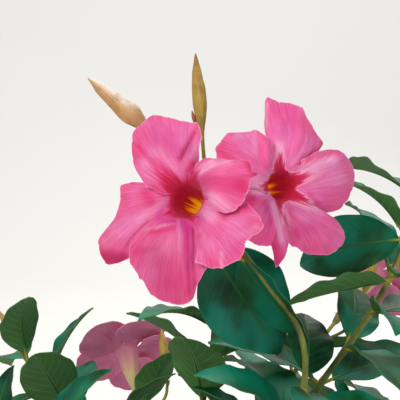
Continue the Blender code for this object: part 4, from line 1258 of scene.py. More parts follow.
    def set_leaves(self, stem: Stem) -> None:
        """Set opposite pairs of leaves along a stem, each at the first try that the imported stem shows.

        A try draws a swing round the stem, a length and a leaf's variations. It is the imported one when
        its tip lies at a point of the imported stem.

        Args:
            stem: the stem, which gains the leaves.
        """
        rng = self.rng
        packed = packed_points(f"leafy_stem_{stem.name}")
        total = path_length(stem.path) * stem.leafy_to
        distance = SOCKET_DEPTH + FIRST_NODE
        turn = stem.first_turn
        while distance < total:
            share = distance / total
            for opposite in (0.0, math.pi):
                for attempt in range(LEAF_ATTEMPTS):
                    swing = rng.uniform(-0.07, 0.07) * attempt
                    shrink = 1 - 0.4 * attempt / LEAF_ATTEMPTS
                    length = LEAF_LENGTH * (1.05 - 0.3 * share ** 2) * shrink * rng.uniform(0.92, 1.06)
                    leaf = self.rule_leaf(stem.path, distance, turn + opposite + swing, length)
                    tip = leaf.spine(np.ones(1))[0]
                    if lengths(packed - tip).min() < TIP_FIT:
                        stem.leaves.append(leaf)
                        break
            turn += math.pi / 2 + rng.uniform(-0.25, 0.25)
            distance += NODE_SPACING * (1.1 - 0.25 * share)


def weigh(marks: tuple[Stroke, ...], chart: Array) -> Array:
    """Return the sum of strokes' weights at points of a petal's chart.

    Args:
        marks: the strokes.
        chart: the points, in mm.

    Returns:
        One number per point.
    """
    total = np.zeros(chart.shape[:-1])
    for stroke in marks:
        start = np.array(stroke.start, dtype=float)
        along = np.array(stroke.end) - start
        share = np.clip((chart - start).dot(along) / max(along.dot(along), 1e-9), 0, 1)
        distance = lengths(chart - start - share[..., None] * along)
        total += stroke.amount * np.exp(-(distance / stroke.width) ** 2)
    return total


@dataclass
class Corolla:
    """The fine skin of a bloom: a lobed tube that opens through the mouth into five petals.

    Attributes:
        bloom: its plan.
        columns: points across each petal.
        rows: points from each petal's shoulder to its rim.
        tube_rows: points along the tube.
        inner_rows: points from the mouth to the shoulder.
    """

    bloom: Bloom
    columns: int
    rows: int
    tube_rows: int
    inner_rows: int = 4

    def tube_profile(self) -> tuple[Array, Array]:
        """Return the tube's radius and depth by row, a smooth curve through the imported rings."""
        depth_of_base = TUBE_LENGTH - BLADE / 2
        rings = [(radius, -depth_of_base * depth, 0.0) for radius, depth in TUBE_RINGS]
        rings.append((SHOULDER_RADIUS, LIMB_RISE / 2, 0.0))
        along = steps_along(rings)
        curve = smooth_curve(rings, np.linspace(0, along[-2] / along[-1], self.tube_rows))
        return curve[:, 0], -curve[:, 1]

    def turns(self) -> Array:
        """Return the turn of every column of the tube round the axis."""
        count = len(self.bloom.petals) * (self.columns - 1)
        return np.radians(self.bloom.first_slot - PETAL_SLOT / 2 + np.arange(count) * 360 / count)

    def throat(self) -> Surface:
        """Return the tube's grid, rows from its base to the mouth.

        Five shallow lobes stand out between the seams below the mouth.
        """
        bloom = self.bloom
        radius, depth = self.tube_profile()
        turns = self.turns()
        lobes = 1 + 0.05 * smoothstep(depth, 0, 6 * MM)[:, None] * np.cos(
            5 * (turns - math.radians(bloom.first_slot)))
        spread = bloom.scale * radius[:, None] * lobes
        spokes = circle(turns)
        points = bloom.placed(spread[:, :, None] * spokes, np.broadcast_to(-depth[:, None], spread.shape))
        points = points + self.leant(1 - smoothstep(depth, *LEAN_DEPTHS)[:, None])
        wall, fall, parting = bloom.glint
        off = np.degrees(np.angle(np.exp(1j * (turns - math.radians(wall)))))
        deep = smoothstep(depth, 0, THROAT_DEPTH)[:, None]
        # Painted light and shade: the yellow comes furthest up on the lit wall and falls back on the others
        dimmed = GLINT_FALL * (1 - np.exp(-(off / fall) ** 2))
        tongues = parting * np.cos(GLINT_TONGUES * np.radians(off))
        reach = -depth[:, None] / THROAT_DEPTH + deep * (dimmed + tongues)
        grain = np.stack(np.broadcast_arrays(*spokes.T, -depth[:, None] / LIMB_RADIUS), axis=-1)
        return Surface(points.reshape(-1, 3), np.zeros((0, 3), int), {
            "reach": reach.ravel(), "grain": grain.reshape(-1, 3),
            "edge": np.full(spread.size, FAR_FROM_EDGE)})

    def leant(self, share: Array) -> Array:
        """Return shares of the way by which the fine mouth lies off the plan's."""
        across, along = self.bloom.axes()
        return share[..., None] * MM * (self.bloom.lean[0] * across + self.bloom.lean[1] * along)

    def relief(self, number: int, u: Array, v: Array, chart: Array) -> Array:
        """Return the folds and the ruffled rim of a petal, in metres over its plain sheet.

        The folds are the weights of its strokes, faded in past the shoulder. The ruffle is the sum
        of two sines across the petal, times v^5. The creases are a sine across it whose phase
        drifts on the way out.

        Args:
            number: the petal's number.
            u: shares of the way across it.
            v: shares of the way out.
            chart: the points' places in its chart.

        Returns:
            One height per point.
        """
        petal = self.bloom.petals[number]
        phase = 1.7 * number + 40 * self.bloom.mouth[0] / (10 * MM)
        ruffle = (RUFFLE * np.sin(14 * u + phase) + 0.6 * RUFFLE * np.sin(31 * u + 2.3 * phase)) * v ** 5
        fade = smoothstep(v, SHOULDER - 0.05, SHOULDER + 0.25)
        drift = 2 * math.pi * CREASES * u + phase
        drift = drift + 1.4 * np.sin(5 * v + phase) + 1.1 * np.sin(9 * u + phase)
        creases = CREASE_HEIGHT * np.sin(drift) * smoothstep(v, 0.1, 0.45)
        return (weigh(petal.folds, chart) * fade + ruffle + creases) * MM * self.bloom.scale

    def frill(self, number: int, u: Array, chart: Array) -> Array:
        """Return how far the fine rim stands out from the plan's, in metres, at points of the rim.

        It is the petal's frills and two rows of scallops, each the square root of an uneven sine's
        size, which leaves a nick at every zero. The scallops fade out at the petal's two ends.

        Args:
            number: the petal's number.
            u: shares of the way along the rim.
            chart: the points' places in its chart.

        Returns:
            One distance per point.
        """
        rng = np.random.default_rng(SEED + 10 + number)
        scallops = np.zeros_like(u)
        for waves, size in NICKS:
            start, pace, shift = rng.uniform(0, math.pi), rng.uniform(1, 2), rng.uniform()
            phase = start + 1.3 * np.sin(2 * math.pi * (u * pace + shift))
            scallops += size * (np.sqrt(np.abs(np.sin(math.pi * waves * u + phase))) - 0.8)
        ends = smoothstep(np.minimum(u, 1 - u), 0, 0.08)
        return (weigh(self.bloom.petals[number].frills, chart) + scallops * ends) * MM * self.bloom.scale

    def petal(self, number: int) -> tuple[Array, dict[str, Array]]:
        """Return a petal's surface, rows outward from just past the mouth.

        Its plan runs straight from the shoulder to the rim, with its two edges turned by the petal's
        turns. Its height is the plain sheet's and the relief, eased in from the mouth.

        Args:
            number: the petal's number.

        Returns:
            The points, and the values under the names that the finish reads.
        """
        bloom = self.bloom
        petal = bloom.petals[number]
        u = np.linspace(0, 1, self.columns)
        shoulder = bloom.shoulder(number, u)
        rim_chart = smooth_curve(petal.outline, u)
        rim = bloom.rim(number, u, self.relief(number, u, 1.0, rim_chart))
        rim = rim + unit(rim) * self.frill(number, u, rim_chart)[:, None]
        spokes = circle(bloom.slot_turn(number) + math.radians(PETAL_SLOT) * (u - 0.5))
        mouth = MOUTH_RADIUS * bloom.scale * spokes
        rising = (np.arange(1, self.inner_rows) / self.inner_rows)[:, None]
        v = np.linspace(SHOULDER, 1, self.rows)[:, None]
        inner, outer = rising[:, :, None], ((v - SHOULDER) / (1 - SHOULDER))[:, :, None]
        plan = np.vstack([mouth * (1 - inner) + shoulder * inner, shoulder * (1 - outer) + rim * outer])
        v_all = np.vstack([np.full_like(rising, SHOULDER), v])
        eased = np.vstack([rising, np.ones_like(v)])
        first, last = (np.interp(np.vstack([rising * SHOULDER, v]), EDGE_ROWS, turn)
                       for turn in petal.turns)
        plan = spun(plan, np.radians(first * (1 - u) ** EDGE_WEIGHT + last * u ** EDGE_WEIGHT))
        radius = lengths(plan) / bloom.scale
        flare = bloom.scale * flare_at(radius)
        plain = flare + (bloom.height(petal, u, v_all, plan) - flare) * eased
        heights = plain
        for _ in range(2):
            chart = bloom.chart(number, plan, bloom.placed(plan, heights))
            heights = plain + self.relief(number, u, v_all, chart) * eased
        points = bloom.placed(plan, heights) + self.leant(1 - smoothstep(v_all, SHOULDER, LEAN_END))
        chart = bloom.chart(number, plan, points)
        turn = np.arctan2(plan[..., 1], plan[..., 0])
        aside = np.minimum(u, 1 - u) * path_length(rim) * v_all / MM
        ahead = (1 - v_all) * lengths(rim - shoulder) / MM
        values = {
            "reach": (radius - MOUTH_RADIUS) / (self.ray(turn) * MM - MOUTH_RADIUS),
            "grain": np.stack(np.broadcast_arrays(*spokes.T, radius / LIMB_RADIUS), axis=-1),
            "edge": np.minimum(aside, ahead),
            "outward": np.broadcast_to(v_all, radius.shape),
            **{mark: np.clip(weigh(getattr(petal, mark), chart), -1, 1)
               for mark in ("rose", "mauve", "pale", "shade")},
        }
        return points.reshape(-1, 3), {name: value.reshape(-1, *value.shape[2:])
                                       for name, value in values.items()}

    def ray(self, turn: Array) -> Array:
        """Return how far out, in mm, the red of the throat runs.

        It is the bloom's least, raised to each ray's length by a narrow bell round that ray.

        Args:
            turn: turns round the axis.

        Returns:
            One distance per turn.
        """
        least = self.bloom.ray_least
        reach = np.full(turn.shape, least)
        for middle, spread, length in self.bloom.rays:
            off = np.angle(np.exp(1j * (turn - math.radians(self.bloom.first_slot + middle))))
            bell = np.exp(-(np.degrees(off) / spread) ** 2)
            reach = np.maximum(reach, least + (length - least) * bell)
        return reach

    def surface(self) -> Surface:
        """Return the whole corolla as one closed blade."""
        sheets = [self.throat()]
        ring = grid_numbers(self.tube_rows, len(self.turns()), closed=True)
        base = Surface(self.bloom.placed(np.zeros((1, 2)), np.array([-(TUBE_LENGTH - BLADE / 2)])),
                       np.zeros((0, 3), int), {"reach": np.full(1, -3.0), "grain": np.zeros((1, 3)),
                                               "edge": np.full(1, FAR_FROM_EDGE)})
        pole = ring.size - len(ring)
        first = ring[0]
        triangles = [strips(ring[:-1], ring[1:]),
                     np.column_stack([np.full(len(first) - 1, pole), first[:-1], first[1:]])]
        sheets.append(base)
        count = pole + 1
        for number in range(len(self.bloom.petals)):
            points, values = self.petal(number)
            sheets.append(Surface(points, np.zeros((0, 3), int), values))
            rows = count + grid_numbers(self.inner_rows - 1 + self.rows, self.columns)
            start = number * (self.columns - 1)
            mouth = ring[-1][start:start + self.columns]
            triangles += [strips(mouth[None], rows[:1]), strips(rows[:-1], rows[1:])]
            count += len(points)
        sheet = joined(sheets)
        return Surface(sheet.points, np.vstack(triangles), sheet.values).thickened(PETAL_THICKNESS)


def bud_surface(bud: Bud, rings: int = 48, sides: int = 20) -> Surface:
    """Return a bud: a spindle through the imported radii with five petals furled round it.

    Round each ring the radius grows from one petal's hidden edge to its open edge, five times, and
    the edges turn about the axis towards the tip.

    Args:
        bud: its plan.
        rings: points along it.
        sides: points round it.

    Returns:
        The closed skin, with the values along, furl (the place between two edges) and crest (how far
        up the surface faces).
    """
    outline = np.column_stack([bud.outline, np.zeros(len(bud.outline))])
    curve = smooth_curve(outline, np.linspace(0, 1, rings))
    along, share = np.clip(curve[:, 0], 0, 1), curve[:, 1]
    across, other = square_to(bud.axis)
    turns = around(sides)
    furl = (turns[None] / (2 * math.pi) * 5 + BUD_TWIST * along[:, None]) % 1.0
    step = furl ** 1.5 * (1 - smoothstep(furl, 0.88, 1.0))
    radius = share[:, None] * bud.radius * (0.91 + 0.21 * step * smoothstep(along, 0.25, 0.5)[:, None])
    points = (bud.base + (along * bud.length)[:, None, None] * bud.axis
              + radius[:, :, None] * (np.cos(turns)[:, None] * across + np.sin(turns)[:, None] * other))
    # How far up the surface faces, which places the painted highlight on the upper side
    crest = np.broadcast_to(np.cos(turns) * across[2] + np.sin(turns) * other[2], furl.shape)
    return capped(points, {"along": along, "furl": furl, "crest": crest})


def leaf_surface(leaf: Leaf, tint: float) -> Surface:
    """Return a leaf: a closed blade with a sunken midrib, and its stalk that runs on as the midrib.

    The blade's rows are spaced by a cosine, closer at both ends, which are points.

    Args:
        leaf: its plan.
        tint: how young and pale its green is, from 0 to 1.

    Returns:
        The leaf, with the values along, aside, rib, underside and tint.
    """
    rows, columns = leaf.grid
    parts = (1 - np.cos(math.pi * np.arange(1, rows) / rows)) / 2
    across = np.linspace(-1, 1, columns)
    grid = leaf.blade(parts, across)
    _, lifted = leaf.spine(parts)
    half = leaf.half_width(parts)
    aside = half[:, None] * np.abs(across)
    groove = -MIDRIB_GROOVE * np.exp(-(aside / (1.3 * MM)) ** 2)
    phase = leaf.width * 900
    wave = 0.05 * half[:, None] * np.sin(parts * 24 + phase)[:, None] * np.abs(across) ** 3
    veins = parts[:, None] * LEAF_VEINS - np.abs(across) * VEIN_SWEEP
    ribs = -LEAF_QUILT * np.cos(2 * math.pi * veins) ** 4
    quilt = ribs * np.abs(across) * (1 - np.abs(across)) * 4
    grid = grid + (groove + wave + quilt)[:, :, None] * lifted[:, None]
    ends, _ = leaf.spine(np.array((0.0, 1.0)))
    points = np.vstack([grid.reshape(-1, 3), ends])
    numbers = grid_numbers(rows - 1, columns)
    base, tip = len(points) - 2, len(points) - 1
    triangles = np.vstack([
        strips(numbers[:-1], numbers[1:])[:, ::-1],
        np.column_stack([np.full(columns - 1, base), numbers[0, 1:], numbers[0, :-1]]),
        np.column_stack([np.full(columns - 1, tip), numbers[-1, :-1], numbers[-1, 1:]]),
    ])
    values = {
        "along": np.concatenate([np.repeat(parts, columns), (0.0, 1.0)]),
        "aside": np.concatenate([np.tile(across, rows - 1), (0.0, 0.0)]),
    }
    blade = Surface(points, triangles, values).thickened(LEAF_THICKNESS)
    reach = np.linspace(0, 0.96, 14)
    midrib, up = leaf.spine(reach)
    stalk = leaf.root + (leaf.start - leaf.root) * np.linspace(0.1, 0.9, 4)[:, None]
    path = np.vstack([stalk, midrib - up * 0.35 * MM])
    thick = np.concatenate([np.full(4, 1.0), 0.2 + 0.8 * (1 - reach) ** 1.2]) * PEDICEL_RADIUS
    rib = tube(path, thick, 8, {"along": np.concatenate([np.full(4, -0.1), reach])})
    rib = rib.with_value("underside", 0.0).with_value("rib", 1.0)
    return joined([blade, rib]).with_value("tint", tint)


def sepals(base: Array, axis: Array, length: float, radius: float) -> Surface:
    """Return five slim sepals round the foot of a corolla or a bud.

    Each is a blade of 7 rows of 5 points, lance-shaped, that leans out and bends back at its tip.

    Args:
        base: the middle of their ring.
        axis: the direction of what they hold.
        length: of each.
        radius: of the ring.

    Returns:
        The sepals, with the value along.
    """
    across, other = square_to(axis)
    parts = np.linspace(0, 1, 7)[:, None]
    share = np.linspace(-1, 1, 5)[None]
    half = 0.24 * length * np.sin(math.pi * (0.18 + 0.8 * parts)) ** 1.2
    blades = []
    for turn in around(5):
        outward = math.cos(turn) * across + math.sin(turn) * other
        aside = np.cross(axis, outward)
        lean = radius + length * (0.12 * parts + 0.2 * parts ** 3) - 0.4 * half * share ** 2
        points = (base + (parts * length + 0 * share)[..., None] * axis + lean[..., None] * outward
                  + (half * share)[..., None] * aside)
        numbers = grid_numbers(*points.shape[:2])
        blades.append(Surface(points.reshape(-1, 3), strips(numbers[:-1], numbers[1:]),
                              {"along": np.repeat(parts[:, 0], 5)}).thickened(0.4 * MM))
    return joined(blades)


def stem_surface(stem: Stem) -> Surface:
    """Return a stem with its side shoots: tapered tubes, a little thicker where leaves leave them.

    Args:
        stem: its plan.

    Returns:
        The tubes, with the value along.
    """
    path = smooth_curve(stem.path, np.linspace(0, 1, STALK_ROWS))
    steps = steps_along(path)
    radii = np.linspace(STEM_ROOT_RADIUS, STEM_TIP_RADIUS, STALK_ROWS)
    for leaf in stem.leaves:
        nearest = lengths(path - leaf.root).argmin()
        radii = radii * (1 + 0.12 * np.exp(-((steps - steps[nearest]) / (4 * MM)) ** 2))
    tubes = [tube(path, radii, STALK_SIDES, {"along": steps / steps[-1]})]
    for shoot in stem.shoots:
        share = np.linspace(0, 1, SHOOT_ROWS)
        swelling = 1 + 0.25 * np.exp(-(share / 0.12) ** 2)
        tubes.append(tube(smooth_curve(shoot, share), PEDICEL_RADIUS * swelling, STALK_SIDES,
                          {"along": 0.8 + 0.2 * share}))
    return joined(tubes)


def turned(profile: Array, sides: int) -> Surface:
    """Return the closed solid turned about Z from a profile of (radius, z) that starts and ends on it.

    Args:
        profile: the points between the two poles, anticlockwise with the radius to the right.
        sides: points round each ring.

    Returns:
        The solid's skin.
    """
    ring = np.column_stack([circle(around(sides)), np.zeros(sides)])
    return capped(profile[:, :1, None] * ring + (profile[:, 1:] * UP)[:, None])


def pot_radius(z: Array) -> Array:
    """Return the outer radius of the pot's tapered wall at a height."""
    wall_top = POT_RIM_RADIUS - POT_COLLAR_STEP
    return POT_FOOT_RADIUS + (wall_top - POT_FOOT_RADIUS) * z / POT_HEIGHT


def rounded_profile(corners: Array, bevel: float) -> Array:
    """Return a profile whose inner corners are each cut to a curve of four points.

    Args:
        corners: the profile's points.
        bevel: how far from each corner its curve starts and ends, or half a side where that is less.

    Returns:
        The points: the two ends as they are, and a quadratic curve for each corner between.
    """
    rows = [corners[:1]]
    t = np.linspace(0, 1, 4)[:, None]
    for before, corner, after in zip(corners, corners[1:], corners[2:]):
        start, end = (corner + min(bevel, lengths(other - corner) / 2) * unit(other - corner)
                      for other in (before, after))
        rows.append((1 - t) ** 2 * start + 2 * t * (1 - t) * corner + t ** 2 * end)
    return np.vstack(rows + [corners[-1:]])


def pot_surface() -> Surface:
    """Return the pot without its drainage holes: tapered, with a collar and faint throwing ridges."""
    collar = POT_HEIGHT - POT_COLLAR_HEIGHT
    inner_top = pot_radius(POT_HEIGHT) - POT_WALL
    outside = np.array(((0.25 * POT_FOOT_RADIUS, 0), (POT_FOOT_RADIUS, 0), (pot_radius(collar), collar),
                        (pot_radius(collar) + POT_COLLAR_STEP, collar + 0.6 * MM),
                        (POT_RIM_RADIUS, POT_HEIGHT), (inner_top, POT_HEIGHT),
                        (pot_radius(POT_FLOOR) - POT_WALL, POT_FLOOR), (0.25 * POT_FOOT_RADIUS, POT_FLOOR)))
    corners = rounded_profile(outside, 1.8 * MM)
    rows = []
    for start, end in zip(corners, corners[1:]):
        count = max(1, round(lengths(end - start) / (2.5 * MM)))
        rows.append(start + (np.arange(count) / count)[:, None] * (end - start))
    profile = np.vstack(rows + [corners[-1:]])
    wall = smoothstep(profile[:, 1], 4 * MM, 12 * MM) * (profile[:, 0] > pot_radius(profile[:, 1]) - 2 * MM)
    profile[:, 0] -= wall * 0.12 * MM * (1 + np.sin(profile[:, 1] / (1.9 * MM)))
    return turned(profile, POT_SIDES)


def drained(piece: bpy.types.Object) -> None:
    """Cut the drainage holes, a ring of round plugs, through the floor of the pot.

    Args:
        piece: the pot, which gets a new mesh.
    """
    plug = turned(np.array(((DRAIN_RADIUS, -POT_FLOOR), (DRAIN_RADIUS, 2 * POT_FLOOR))), DRAIN_SIDES)
    plugs = joined([Surface(plug.points + DRAIN_RING * np.array((*spoke, 0)), plug.triangles)
                    for spoke in circle(around(DRAIN_HOLES))])
    cutter = add_object("plugs", mesh_of("plugs", plugs))
    cut = piece.modifiers.new("holes", "BOOLEAN")
    cut.operation = "DIFFERENCE"
    cut.object = cutter
    cut.solver = "EXACT"
    graph = bpy.context.evaluated_depsgraph_get()
    drained_mesh = bpy.data.meshes.new_from_object(piece.evaluated_get(graph))
    piece.modifiers.clear()
    piece.data = drained_mesh
    piece.data.set_sharp_from_angle(angle=math.radians(CLAY_SHARP))
    bpy.data.objects.remove(cutter)


def soil_relief(x: Array, y: Array) -> Array:
    """Return the height of the soil over SOIL_TOP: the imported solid's waves and finer clods.

    The clods are a sum of sines of growing frequency, turned against each other.

    Args:
        x: places across the pot.
        y: places along the view.

    Returns:
        One height per place.
    """
    edge = pot_radius(SOIL_TOP) - POT_WALL - 2 * GAP
    angle, radius = np.arctan2(y, x), np.hypot(x, y)
    waves = np.sin(3 * angle + radius * 90) + np.cos(5 * angle - radius * 140)
    inside = 1 - smoothstep(radius, 0.72 * edge, 0.96 * edge)
    clods = np.zeros_like(radius)
    for number in range(1, 7):
        turn = 2.4 * number
        pace = 180 * 1.55 ** number
        clods += (np.sin(pace * (x * math.cos(turn) + y * math.sin(turn)) + number)
                  * np.cos(pace * (y * math.cos(turn) - x * math.sin(turn)) * 0.83)) / number
    return inside * SOIL_RELIEF * (0.5 * waves + 1) + 0.55 * MM * clods * (1 - smoothstep(
        radius, 0.93 * edge, edge))


def soil_surface() -> Surface:
    """Return the potting mix: the pot's inside, a gap clear of it, with an uneven top."""
    bottom = POT_FLOOR + GAP
    inset = POT_WALL + 2 * GAP
    edge = pot_radius(SOIL_TOP) - inset
    sides = np.array(((0.2 * edge, bottom), (pot_radius(bottom) - inset, bottom)))
    wall = np.column_stack([np.linspace(pot_radius(bottom) - inset, edge, 8)[1:],
                            np.linspace(bottom, SOIL_TOP, 8)[1:]])
    top = np.column_stack([np.linspace(edge, 0.02 * edge, 60)[1:], np.full(59, SOIL_TOP)])
    surface = turned(np.vstack([sides, wall, top]), 160)
    upper = surface.points[:, 2] > SOIL_TOP - GAP / 2
    x, y = surface.points[upper, 0], surface.points[upper, 1]
    surface.points[upper, 2] += soil_relief(x, y)
    return surface


def chips(count: int, low: float, high: float, flatness: float, seed: int, feet: Array) -> Surface:
    """Return small crumbs that lie on the soil, each an uneven ball of 20 faces.

    Args:
        count: how many.
        low: the smallest radius.
        high: the greatest radius.
        flatness: a crumb's height as a share of its width.
        seed: of the random draws.
        feet: where the stems stand, which the crumbs keep clear of.

    Returns:
        The crumbs, with the value tint, one for each crumb.
    """
    rng = np.random.default_rng(seed)
    golden = (1 + 5 ** 0.5) / 2
    ball = unit(np.array([(0, s, t * golden) for s in (-1, 1) for t in (-1, 1)]
                         + [(s, t * golden, 0) for s in (-1, 1) for t in (-1, 1)]
                         + [(t * golden, 0, s) for s in (-1, 1) for t in (-1, 1)]))
    near = lengths(ball[:, None] - ball[None]) < 1.2
    faces = [(a, b, c) for a in range(12) for b in range(a) for c in range(b)
             if near[a, b] and near[b, c] and near[a, c]]
    faces = np.array([face if np.linalg.det(ball[list(face)]) > 0 else face[::-1] for face in faces])
    edge = pot_radius(SOIL_TOP) - POT_WALL - 5 * MM
    spots = rng.uniform(-edge, edge, (4 * count, 2))
    clear = lengths(spots[:, None] - feet[None]).min(axis=1) > 6 * MM
    spots = spots[clear & (lengths(spots) < edge)][:count]
    count = len(spots)
    size = rng.uniform(low, high, count)
    turn = rng.uniform(0, 2 * math.pi, count)
    shape = ball[None] * rng.uniform(0.7, 1.15, (count, 12, 1)) * size[:, None, None]
    shape = shape * np.array((1.25, 0.8, flatness))
    lying = np.concatenate([spun(shape, turn[:, None]), shape[..., 2:]], axis=-1)
    ground = SOIL_TOP + soil_relief(spots[:, 0], spots[:, 1]) + 0.35 * flatness * size
    points = lying + np.column_stack([spots, ground])[:, None]
    triangles = (np.arange(count) * 12)[:, None, None] + faces[None]
    return Surface(points.reshape(-1, 3), triangles.reshape(-1, 3),
                   {"tint": np.repeat(rng.uniform(0, 1, count), 12)})


def srgb(colour: Colour) -> tuple[float, float, float, float]:
    """Return a colour as a socket takes it.

    Args:
        colour: three sRGB values from 0 to 255.

    Returns:
        The linear colour, with full alpha.
    """
    linear = [value / 255 / 12.92 if value < 11 else ((value / 255 + 0.055) / 1.055) ** 2.4
              for value in colour]
    return (*linear, 1.0)


class Wire:
    """One output of a node. Arithmetic on it adds Math nodes to its tree."""

    def __init__(self, bench: "Bench", socket: bpy.types.NodeSocket) -> None:
        """Hold the socket."""
        self.bench, self.socket = bench, socket

    def __add__(self, other: "Wire | float") -> "Wire":
        """Add."""
        return self.bench.maths("ADD", self, other)

    def __sub__(self, other: "Wire | float") -> "Wire":
        """Subtract."""
        return self.bench.maths("SUBTRACT", self, other)

    def __rsub__(self, other: float) -> "Wire":
        """Subtract from a number."""
        return self.bench.maths("SUBTRACT", other, self)

    def __mul__(self, other: "Wire | float") -> "Wire":
        """Multiply."""
        return self.bench.maths("MULTIPLY", self, other)

    def __truediv__(self, other: "Wire | float") -> "Wire":
        """Divide."""
        return self.bench.maths("DIVIDE", self, other)

    __radd__ = __add__
    __rmul__ = __mul__


Value = Wire | float | tuple


class Bench:
    """The node tree of one material, with its Principled shader."""

    def __init__(self, name: str) -> None:
        """Create the material.

        Args:
            name: its name.
        """
        self.material = bpy.data.materials.new(name)
        self.material.use_nodes = True
        self.tree = self.material.node_tree
        self.shader = self.tree.nodes["Principled BSDF"]

    def feed(self, socket: bpy.types.NodeSocket, value: Value) -> None:
        """Link a wire to a socket, or set a plain value on it.

        Args:
            socket: the socket.
            value: the wire or the value.
        """
        if isinstance(value, Wire):
            self.tree.links.new(value.socket, socket)
        else:
            socket.default_value = value

    def node(self, kind: str, settings: dict | None = None, inputs: dict | None = None,
             output: str | int = 0) -> Wire:
        """Add a node.

        Args:
            kind: its type.
            settings: attributes set first; "stops" are a ramp's (position, sRGB colour) pairs.
            inputs: by name or number, the values or wires of its sockets.
            output: the name or number of the output that is returned.

        Returns:
            The output.
        """
        made = self.tree.nodes.new(kind)
        for name, value in (settings or {}).items():
            if name == "stops":
                elements = made.color_ramp.elements
                while len(elements) < len(value):
                    elements.new(0.5)
                for element, (position, colour) in zip(elements, value):
                    element.position = position
                    element.color = srgb(colour)
            else:
                setattr(made, name, value)
        for name, value in (inputs or {}).items():
            self.feed(made.inputs[name], value)
        return Wire(self, made.outputs[output])

    def maths(self, operation: str, first: Value, second: Value) -> Wire:
        """Add a Math node."""
        return self.node("ShaderNodeMath", {"operation": operation}, {0: first, 1: second})

    def number(self, name: str) -> Wire:
        """Read a number of the piece's surface."""
        return self.node("ShaderNodeAttribute", {"attribute_name": name}, output="Fac")

    def vector(self, name: str) -> Wire:
        """Read a vector of the piece's surface."""
        return self.node("ShaderNodeAttribute", {"attribute_name": name}, output="Vector")

    def place(self) -> Wire:
        """Return the point's position on the piece."""
        return self.node("ShaderNodeTexCoord", output="Object")

    def stretched(self, vector: Wire, scale: tuple[float, float, float]) -> Wire:
        """Return a vector multiplied by three numbers."""
        return self.node("ShaderNodeVectorMath", {"operation": "MULTIPLY"}, {0: vector, 1: scale})

    def noise(self, vector: Wire, scale: float, detail: float = 2.0, rough: float = 0.5) -> Wire:
        """Return noise between 0 and 1.

        Args:
            vector: where it is read.
            scale: how many waves fit in a metre, or in one unit of the vector.
            detail: how many finer layers are added.
            rough: how strong the finer layers are.

        Returns:
            The noise.
        """
        return self.node("ShaderNodeTexNoise", None, {
            "Vector": vector, "Scale": scale, "Detail": detail, "Roughness": rough}, "Fac")

    def ramp(self, value: Wire, stops: Stops) -> Wire:
        """Return the colour that a ramp gives for a value."""
        return self.node("ShaderNodeValToRGB", {"stops": stops}, {"Fac": value}, "Color")

    def step(self, value: Wire, low: float, high: float) -> Wire:
        """Return 0 below low, 1 above high and an ease between."""
        return self.node("ShaderNodeMapRange", {"interpolation_type": "SMOOTHSTEP"}, {
            "Value": value, "From Min": low, "From Max": high}, "Result")

    def mix(self, factor: Value, first: Wire | Colour, second: Wire | Colour, blend: str = "MIX") -> Wire:
        """Return one colour blended over another.

        Args:
            factor: how much of the second shows.
            first: the colour below.
            second: the colour over it.
            blend: how they are blended.

        Returns:
            The blend.
        """
        made = self.tree.nodes.new("ShaderNodeMix")
        made.data_type = "RGBA"
        made.blend_type = blend
        colours = [value if isinstance(value, Wire) else srgb(value) for value in (first, second)]
        for socket, value in zip((made.inputs[0], made.inputs[6], made.inputs[7]), (factor, *colours)):
            self.feed(socket, value)
        return Wire(self, made.outputs[2])

    def bump(self, height: Wire, distance: float, strength: float = 1.0) -> Wire:
        """Return the normal of a surface raised by a height."""
        return self.node("ShaderNodeBump", None, {
            "Height": height, "Distance": distance, "Strength": strength}, "Normal")

    def finish(self, **inputs: Value) -> Material:
        """Set the Principled shader's sockets, named with underscores, and return the material."""
        for name, value in inputs.items():
            self.feed(self.shader.inputs[name.replace("_", " ")], value)
        return self.material


